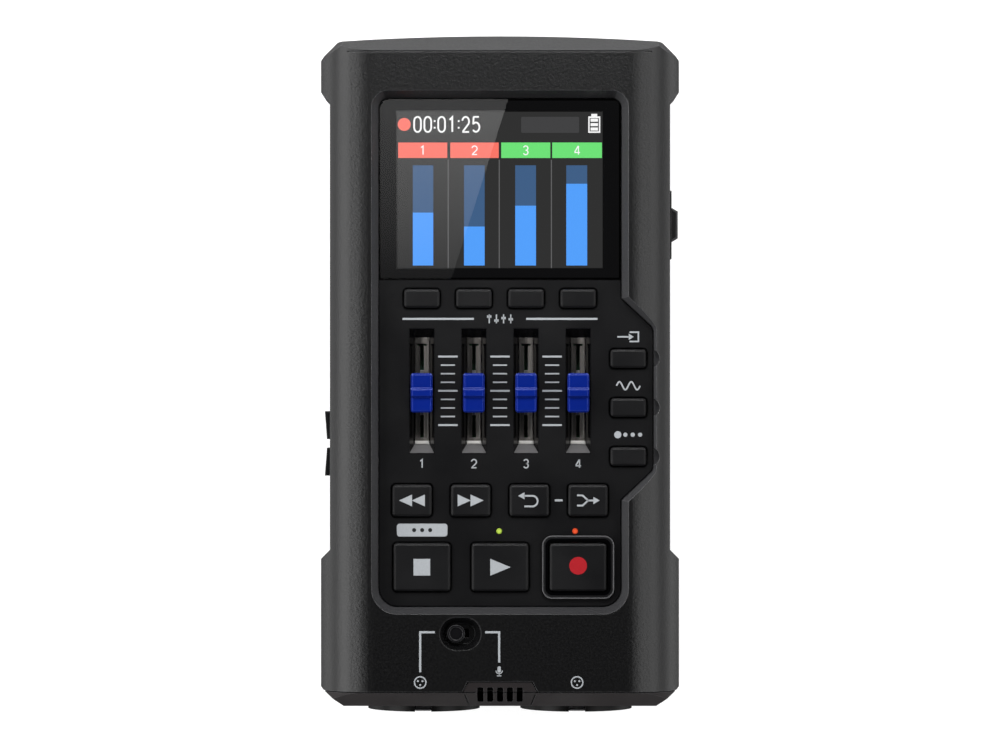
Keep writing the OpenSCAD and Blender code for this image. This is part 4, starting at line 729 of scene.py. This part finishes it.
SCALE_STEPS = 9
SCALE_PITCH = 2.03 * MM
SCALE_Y = -3.75 * MM
LONG_MARK = 4.6 * MM
SHORT_MARK = 3.35 * MM
LONG_MARK_W = 0.44 * MM
SHORT_MARK_W = 0.34 * MM
NUMBER_Y = -21 * MM
NUMBER_H = 2.25 * MM
NUMBER_PEN = 0.29 * MM
TRACK_LINE_Y = 13.3 * MM
TRACK_LINE_W = 0.48 * MM
TRACK_LINE_LEN = 16.9 * MM
TRACK_LINE_X = 14.65 * MM
SMALL_FADER_PITCH = 1.7 * MM
SMALL_FADER_LIFTS = (0.55 * MM, -0.4 * MM, 0.2 * MM, -0.1 * MM)

for gap in (-1, 0, 1):
    marks = []
    for step in range(SCALE_STEPS):
        y = SCALE_Y + (step - (SCALE_STEPS - 1) / 2) * SCALE_PITCH
        size = (LONG_MARK, LONG_MARK_W) if step % 4 == 0 else (SHORT_MARK, SHORT_MARK_W)
        marks.append(rect(gap * FADER_PITCH, y, *size))
    print_marks(f"fader_scale_{gap + 2}", marks)
for track in range(1, 5):
    x = centre(f"fader_cap_{track}").x
    print_marks(f"track_number_{track}", digits(str(track), x, NUMBER_Y, NUMBER_H, NUMBER_PEN))
print_marks("track_lines", [
    rect(side * TRACK_LINE_X, TRACK_LINE_Y, TRACK_LINE_LEN, TRACK_LINE_W)
    for side in (-1, 1)
])
# four small faders in the gap between the lines
small_faders = []
for i, lift in enumerate(SMALL_FADER_LIFTS):
    x = (i - 1.5) * SMALL_FADER_PITCH
    small_faders.append(rect(x, TRACK_LINE_Y, 0.28 * MM, 2.1 * MM))
    small_faders.append(rect(x, TRACK_LINE_Y + lift, 1.05 * MM, 0.55 * MM))
print_marks("track_symbol", small_faders)

# Symbols over the side keys

SYMBOL_LIFT = 5.15 * MM
LINE_W = 0.36 * MM


def symbol_place(key):
    """The middle of the symbol over a key."""
    c = centre(key)
    return c.x, c.y + SYMBOL_LIFT


# arrow into a box
x, y = symbol_place("input_key")
open_box = [(0.3, 1.1), (2.4, 1.1), (2.4, -1.1), (0.3, -1.1)]
print_marks("input_symbol", [
    stroke([(x + dx * MM, y + dy * MM) for dx, dy in open_box], LINE_W),
    stroke([(x - 2.6 * MM, y), (x + 0.2 * MM, y)], LINE_W),
    [(x + 0.1 * MM, y + 0.75 * MM), (x + 0.1 * MM, y - 0.75 * MM), (x + 1.3 * MM, y)],
])
# sine wave
x, y = symbol_place("effect_key")
WAVE_STEPS = 32
WAVE_LEN = 5.6 * MM
WAVE_H = 0.95 * MM
wave = []
for i in range(WAVE_STEPS + 1):
    t = i / WAVE_STEPS
    wave.append((x + (t - 0.5) * WAVE_LEN, y + WAVE_H * math.sin(4 * math.pi * t)))
print_marks("effect_symbol", [stroke(wave, LINE_W)])
# four beats, the first one strong
x, y = symbol_place("rhythm_key")
print_marks("rhythm_symbol", [disc(x - 2.5 * MM, y, 0.85 * MM)] + [
    disc(x + (i * 1.75 - 0.7) * MM, y, 0.5 * MM) for i in range(3)
])

# Glyphs on the keys, riding on them

GLYPH_W = 0.42 * MM


def key_marks(key, outlines, material=INK):
    """Print on top of a key."""
    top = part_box(key)[1].z
    return print_marks(f"{key}_glyph", outlines, top, material, key)


def triangle(x, y, w, h, way):
    """A triangle that points right for way 1 and left for way -1."""
    return [(x - way * w / 2, y - h / 2), (x + way * w / 2, y), (x - way * w / 2, y + h / 2)]


for key, way in (("rewind_key", -1), ("forward_key", 1)):
    c = centre(key)
    key_marks(key, [triangle(c.x + s * 1.52 * MM, c.y, 3.1 * MM, 2.8 * MM, way) for s in (-1, 1)])
# arrow turning back
c = centre("undo_key")
turn = arc(c.x + 0.7 * MM, c.y - 0.15 * MM, 1.25 * MM, -90, 90, 16)
key_marks("undo_key", [
    stroke([(c.x - 1.2 * MM, turn[0][1])] + turn + [(c.x - 1.3 * MM, turn[-1][1])], GLYPH_W),
    triangle(c.x - 1.9 * MM, turn[-1][1], 1.5 * MM, 1.7 * MM, -1),
])
# two lines that merge into one
c = centre("bounce_key")
branches = [
    [(c.x - 2.6 * MM, c.y + rise), (c.x - 1.3 * MM, c.y + rise), (c.x, c.y)]
    for rise in (-1.2 * MM, 1.2 * MM)
]
key_marks("bounce_key", [stroke(branch, GLYPH_W) for branch in branches] + [
    stroke([(c.x - 0.1 * MM, c.y), (c.x + 1.3 * MM, c.y)], GLYPH_W),
    triangle(c.x + 2 * MM, c.y, 1.5 * MM, 1.7 * MM, 1),
])
c = centre("stop_key")
key_marks("stop_key", [rect(c.x, c.y, 3.95 * MM, 3.95 * MM)])
c = centre("play_key")
key_marks("play_key", [triangle(c.x + 0.1 * MM, c.y, 4.8 * MM, 4.0 * MM, 1)])
c = centre("record_key")
key_marks("record_key", [disc(c.x, c.y + 0.35 * MM, 2.1 * MM, 48)], INK_RED)

# Dash between two keys and the light badge over the stop key

middle_y = centre("undo_key").y
dash_x = (centre("undo_key").x + centre("bounce_key").x) / 2
print_marks("key_dash", [rect(dash_x, middle_y, 1.85 * MM, 0.5 * MM)])
BADGE_X = -18.45 * MM
BADGE_Y = -36.75 * MM
print_marks("badge", [rounded_rect(BADGE_X, BADGE_Y, 12.0 * MM, 3.05 * MM, 0.7 * MM)])
print_marks(
    "badge_dots",
    [disc(BADGE_X + i * 1.9 * MM, BADGE_Y, 0.48 * MM) for i in (-1, 0, 1)],
    PANEL_Z + MARK_T,
    INK_DARK,
)

# Lines and symbols on the front face, round the select knob


def front_marks(name, outlines):
    """Print on the front face of the case."""
    return print_marks(name, outlines, RIM_Z, INK, "case")


SELECT_LINE_W = 0.5 * MM
SELECT_Y = -60.75 * MM
INPUT_A_X = -18.85 * MM
INPUT_B_X = 18.2 * MM
INPUT_Y = -72.6 * MM
MIC_X = -0.2 * MM
MIC_Y = -70.0 * MM

front_marks("select_lines", [
    stroke([(-15.4 * MM, SELECT_Y), (INPUT_A_X, SELECT_Y), (INPUT_A_X, -70.2 * MM)], SELECT_LINE_W),
    stroke([(-3.5 * MM, SELECT_Y), (MIC_X, SELECT_Y), (MIC_X, -67.9 * MM)], SELECT_LINE_W),
])


def connector_symbol(name, x, y):
    """Round three-pole connector."""
    holes = [
        disc(x + 0.62 * MM * math.sin(a), y + 0.62 * MM * math.cos(a), 0.24 * MM, 16)
        for a in (math.radians(60), math.radians(180), math.radians(300))
    ]
    front_marks(name, ring(x, y, 1.35 * MM, 0.3 * MM) + holes)


connector_symbol("input_a_symbol", INPUT_A_X, INPUT_Y)
connector_symbol("input_b_symbol", INPUT_B_X, INPUT_Y)
front_marks("mic_symbol", [
    rounded_rect(MIC_X, MIC_Y + 0.45 * MM, 0.8 * MM, 1.5 * MM, 0.39 * MM),
    stroke(arc(MIC_X, MIC_Y + 0.2 * MM, 0.75 * MM, 180, 360, 12), 0.2 * MM),
    rect(MIC_X, MIC_Y - 0.8 * MM, 0.2 * MM, 0.5 * MM),
    rect(MIC_X, MIC_Y - 1.05 * MM, 1.0 * MM, 0.2 * MM),
])

# Smooth rims at the upper and lower end of the power knob, which close its grip grooves

KNOB_RIM_W = 0.5 * MM
KNOB_RIM_H = 0.8 * MM
KNOB_RIM_PROUD = 0.2 * MM
# the rims stand out this far over the sides of the knob, and start this far off its bezel
KNOB_RIM_OVER = 0.03 * MM
KNOB_RIM_CLEAR = 0.15 * MM
KNOB_END_SLOPE = 0.8 * MM
# the rims are paler than the knob, raised further as painted light against the shade of the case shoulder
KNOB_RIM_FINISH = moulded("knob_rim", srgb(78, 78, 80), 0.45, 0.3 * MM, 0.012 * MM, 0.3)


def knob_rim():
    """Outline of a rim along the sloped ends and the outer side of the power knob."""
    low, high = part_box("power_knob")
    x0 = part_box("power_bezel")[1].x + KNOB_RIM_CLEAR
    x1 = high.x + KNOB_RIM_OVER
    y0 = low.y - KNOB_RIM_OVER
    y1 = high.y + KNOB_RIM_OVER
    slant = KNOB_END_SLOPE / (x1 - x0)
    across = KNOB_RIM_W * math.hypot(1, slant)
    inner_x = x1 - KNOB_RIM_W
    inner_y = across + slant * (inner_x - x0)
    return [
        (x0, y0),
        (x1, y0 + KNOB_END_SLOPE),
        (x1, y1 - KNOB_END_SLOPE),
        (x0, y1),
        (x0, y1 - across),
        (inner_x, y1 - inner_y),
        (inner_x, y0 + inner_y),
        (x0, y0 + across),
    ]


knob_low, knob_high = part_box("power_knob")
rim_levels = {
    "upper": knob_high.z + KNOB_RIM_PROUD - KNOB_RIM_H,
    "lower": knob_low.z - KNOB_RIM_PROUD,
}
for end, z in rim_levels.items():
    prism(
        f"power_knob_rim_{end}",
        [knob_rim()],
        z,
        KNOB_RIM_H,
        KNOB_RIM_FINISH.material,
        "power_knob",
    )

# Screen: its marks are placed in millimetres from the middle of the lens

screen = centre("display_lens")
# the picture is this much brighter, to make up for the light that the lens takes away
LENS_GAIN = 1.08
SCREEN_COLOURS = {
    # the border under the lens: a faint painted glow
    "black": (13, 13, 14),
    "dark": (48, 48, 48),
    "grey": (100, 100, 101),
    "box": (66, 66, 67),
    "white": (250, 250, 250),
    "red": (251, 118, 104),
    "green": (110, 226, 120),
    "blue": (84, 160, 252),
    "dim_blue": (64, 95, 134),
}
LIT = {
    name: glow(f"screen_{name}", srgb(*colour), LENS_GAIN).material
    for name, colour in SCREEN_COLOURS.items()
}
SCREEN_LAYER = 0.02 * MM
GROUND = (-24.35, 24.35, -18.7, 18.4)
SEPARATORS = (-12.3, -0.18, 12.2)
HEADERS = ((-24.17, -12.53), (-11.8, -0.3), (0.3, 11.94), (12.4, 24.2))
HEADER_Y = (7.43, 11.1)
BARS = ((-20.7, -15.85), (-8.54, -3.65), (3.62, 8.54), (15.74, 20.7))
BAR_Y = (-18.1, 5.68)
LEVELS = (0.528, 0.389, 0.597, 0.816)
TIME_Y = 15.4
TIME_X = -12.65
TIME_H = 4.0
TIME_PEN = 0.42
BORDER_GAP = 0.3
BATTERY_X = 22.38
BATTERY_OUT = 1.42
BATTERY_IN = 1.1


def lit(name, outlines, colour, level=1, floor=SCREEN_Z):
    """A lit mark on the picture, its outlines in millimetres."""
    placed = [[(screen.x + x * MM, screen.y + y * MM) for x, y in outline] for outline in outlines]
    z = floor + (level - 1) * SCREEN_LAYER
    piece = prism(f"screen_{name}", placed, z, SCREEN_LAYER, LIT[colour], "case")
    piece.visible_diffuse = False
    piece.visible_glossy = False
    return piece


# black border printed under the lens, given a faint painted glow
lens_low, lens_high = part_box("display_lens")
half_w = (lens_high.x - lens_low.x) / 2 / MM - BORDER_GAP
half_h = (lens_high.y - lens_low.y) / 2 / MM - BORDER_GAP
left, right, near, far = GROUND
left -= BORDER_GAP
right += BORDER_GAP
near -= BORDER_GAP
far += BORDER_GAP
lit("border", [
    span(-half_w, half_w, far, half_h),
    span(-half_w, half_w, -half_h, near),
    span(-half_w, left, near, far),
    span(right, half_w, near, far),
], "black", 1, lens_low.z)
lit("ground", [span(*GROUND)], "dark")
lit("separators", [span(x - 0.12, x + 0.12, GROUND[2], 7.0) for x in SEPARATORS], "grey", 2)
lit("armed_headers", [span(*sides, *HEADER_Y) for sides in HEADERS[:2]], "red", 2)
lit("play_headers", [span(*sides, *HEADER_Y) for sides in HEADERS[2:]], "green", 2)
for i, sides in enumerate(HEADERS):
    middle = (sum(sides) / 2, sum(HEADER_Y) / 2)
    lit(f"header_{i + 1}", digits(str(i + 1), *middle, 2.3, 0.26), "white", 3)
lit("bar_grounds", [span(*sides, *BAR_Y) for sides in BARS], "dim_blue", 2)
bar_h = BAR_Y[1] - BAR_Y[0]
lit("bars", [span(*sides, BAR_Y[0], BAR_Y[0] + v * bar_h) for sides, v in zip(BARS, LEVELS)], "blue", 3)
lit("record_dot", [disc(-22.74, TIME_Y, 1.54)], "red", 2)
clock = digits("00:01:25", TIME_X, TIME_Y, TIME_H, TIME_PEN, slim=0.75, gap=0.4, colon=0.85)
lit("time", clock, "white", 2)
lit("status_box", [rounded_rect(11.9, 15.3, 13.75, 3.8, 0.3)], "box", 2)
lit("battery", [
    span(BATTERY_X - 0.7, BATTERY_X + 0.7, 17.3, 17.9),
    span(BATTERY_X - BATTERY_OUT, BATTERY_X + BATTERY_OUT, 16.9, 17.3),
    span(BATTERY_X - BATTERY_OUT, BATTERY_X + BATTERY_OUT, 13.4, 13.75),
    span(BATTERY_X - BATTERY_OUT, BATTERY_X - BATTERY_IN, 13.75, 16.9),
    span(BATTERY_X + BATTERY_IN, BATTERY_X + BATTERY_OUT, 13.75, 16.9),
] + [rect(BATTERY_X, 14.3 + i * 1.05, 1.75, 0.72) for i in range(3)], "white", 2)

# Stage: pale floor, soft boxes and a plain world


def area_lamp(name, place, target, size, power):
    """A white soft box that the camera doesn't see."""
    data = bpy.data.lights.new(name, "AREA")
    data.shape = "RECTANGLE"
    data.size, data.size_y = size
    data.energy = power
    lamp = bpy.data.objects.new(name, data)
    lamp.location = place
    aim = Vector(target) - Vector(place)
    lamp.rotation_euler = aim.to_track_quat("-Z", "Y").to_euler()
    lamp.visible_camera = False
    bpy.context.collection.objects.link(lamp)
    return lamp


def keep_off(lamp, node):
    """Keeps the light of a lamp off a node, which then doesn't mirror it."""
    left_out = bpy.data.collections.new(f"{lamp.name}_leaves_out")
    left_out.objects.link(nodes[node])
    left_out.collection_objects[0].light_linking.link_state = "EXCLUDE"
    lamp.light_linking.receiver_collection = left_out


def flat_sheet(name, corners, z, material):
    """A level sheet of the stage."""
    mesh = bpy.data.meshes.new(name)
    mesh.from_pydata([(x, y, z) for x, y in corners], [], [tuple(range(len(corners)))])
    mesh.materials.append(material)
    sheet = bpy.data.objects.new(name, mesh)
    bpy.context.collection.objects.link(sheet)
    return sheet


def any_ray(tree, *kinds):
    """1 for rays of any of the kinds, else 0."""
    path = tree.nodes.new("ShaderNodeLightPath")
    result = path.outputs[kinds[0]]
    for kind in kinds[1:]:
        either = tree.nodes.new("ShaderNodeMath")
        either.operation = "MAXIMUM"
        tree.links.new(result, either.inputs[0])
        tree.links.new(path.outputs[kind], either.inputs[1])
        result = either.outputs[0]
    return result


# level of white that the floor adds for the eye and for reflections
FLOOR_GLOW = 0.8
FLOOR_HALF = 3.0
FLOOR_Z = -0.05 * MM


def white_floor():
    """Grey, with a glow for the eye and for reflections: it looks white and keeps the shadow."""
    material = bpy.data.materials.new("floor")
    material.use_nodes = True
    tree = material.node_tree
    shader = tree.nodes["Principled BSDF"]
    shader.inputs["Base Color"].default_value = (0.45, 0.45, 0.45, 1)
    shader.inputs["Roughness"].default_value = 0.9
    shader.inputs["Emission Color"].default_value = (1, 1, 1, 1)
    level = tree.nodes.new("ShaderNodeMath")
    level.operation = "MULTIPLY"
    level.inputs[1].default_value = FLOOR_GLOW
    seen = any_ray(tree, "Is Camera Ray", "Is Glossy Ray", "Is Transmission Ray")
    tree.links.new(seen, level.inputs[0])
    tree.links.new(level.outputs[0], shader.inputs["Emission Strength"])
    flat_sheet("floor", rect(0, 0, 2 * FLOOR_HALF, 2 * FLOOR_HALF), FLOOR_Z, material)


# the sky over the object fades to its overhead level at this height of the view direction
SKY_FADE = 0.4
SKY_OVERHEAD = 0.02


def plain_world():
    """White to the camera. For the object, white at the horizon and nearly dark overhead."""
    world = bpy.data.worlds.new("world")
    world.use_nodes = True
    bpy.context.scene.world = world
    tree = world.node_tree
    background = tree.nodes["Background"]
    background.inputs["Color"].default_value = (1, 1, 1, 1)
    coordinates = tree.nodes.new("ShaderNodeTexCoord")
    split = tree.nodes.new("ShaderNodeSeparateXYZ")
    tree.links.new(coordinates.outputs["Generated"], split.inputs[0])
    height = map_range(tree, split.outputs["Z"], 0.0, SKY_FADE, 1.0, SKY_OVERHEAD, "SMOOTHSTEP")
    level = tree.nodes.new("ShaderNodeMix")
    level.inputs["B"].default_value = 1.0
    tree.links.new(any_ray(tree, "Is Camera Ray"), level.inputs["Factor"])
    tree.links.new(height, level.inputs["A"])
    tree.links.new(level.outputs["Result"], background.inputs["Strength"])


SHINE_Z = PANEL_Z + 1.5
SHINE_NEAR_Y = 50 * MM
SHINE_FAR_Y = 166.6 * MM
SHINE_LEFT = -85 * MM
# right side of the shine at its near and far end
SHINE_RIGHT = (-31.1 * MM, 5.9 * MM)


def lens_shine():
    """A pale panel far overhead, seen only as the slanted shine on the display lens."""
    material = bpy.data.materials.new("shine")
    material.use_nodes = True
    tree = material.node_tree
    tree.nodes.remove(tree.nodes["Principled BSDF"])
    light = tree.nodes.new("ShaderNodeEmission")
    coordinates = tree.nodes.new("ShaderNodeTexCoord")
    split = tree.nodes.new("ShaderNodeSeparateXYZ")
    tree.links.new(coordinates.outputs["Object"], split.inputs[0])
    fade = map_range(tree, split.outputs["Y"], 60 * MM, 160 * MM, 0.22, 1.1)
    tree.links.new(fade, light.inputs["Strength"])
    tree.links.new(light.outputs[0], tree.nodes["Material Output"].inputs["Surface"])
    corners = [
        (SHINE_LEFT, SHINE_NEAR_Y),
        (SHINE_RIGHT[0], SHINE_NEAR_Y),
        (SHINE_RIGHT[1], SHINE_FAR_Y),
        (SHINE_LEFT, SHINE_FAR_Y),
    ]
    sheet = flat_sheet("lens_shine", corners, SHINE_Z, material)
    sheet.visible_camera = False
    sheet.visible_diffuse = False
    sheet.visible_shadow = False


white_floor()
plain_world()
lens_shine()
lamps = (
    area_lamp("end_light", (0, 0.24, PANEL_Z + 0.26), (0, 0.03, PANEL_Z), (0.24, 0.1), 0.9),
    area_lamp("left_light", (-0.61, 0.0, PANEL_Z + 0.38), (0, 0, PANEL_Z), (1.4, 0.48), 6.4),
    area_lamp("right_light", (0.56, 0.0, PANEL_Z + 0.44), (0, 0, PANEL_Z), (1.4, 0.48), 3.9),
)
for lamp in lamps:
    keep_off(lamp, "display_lens")
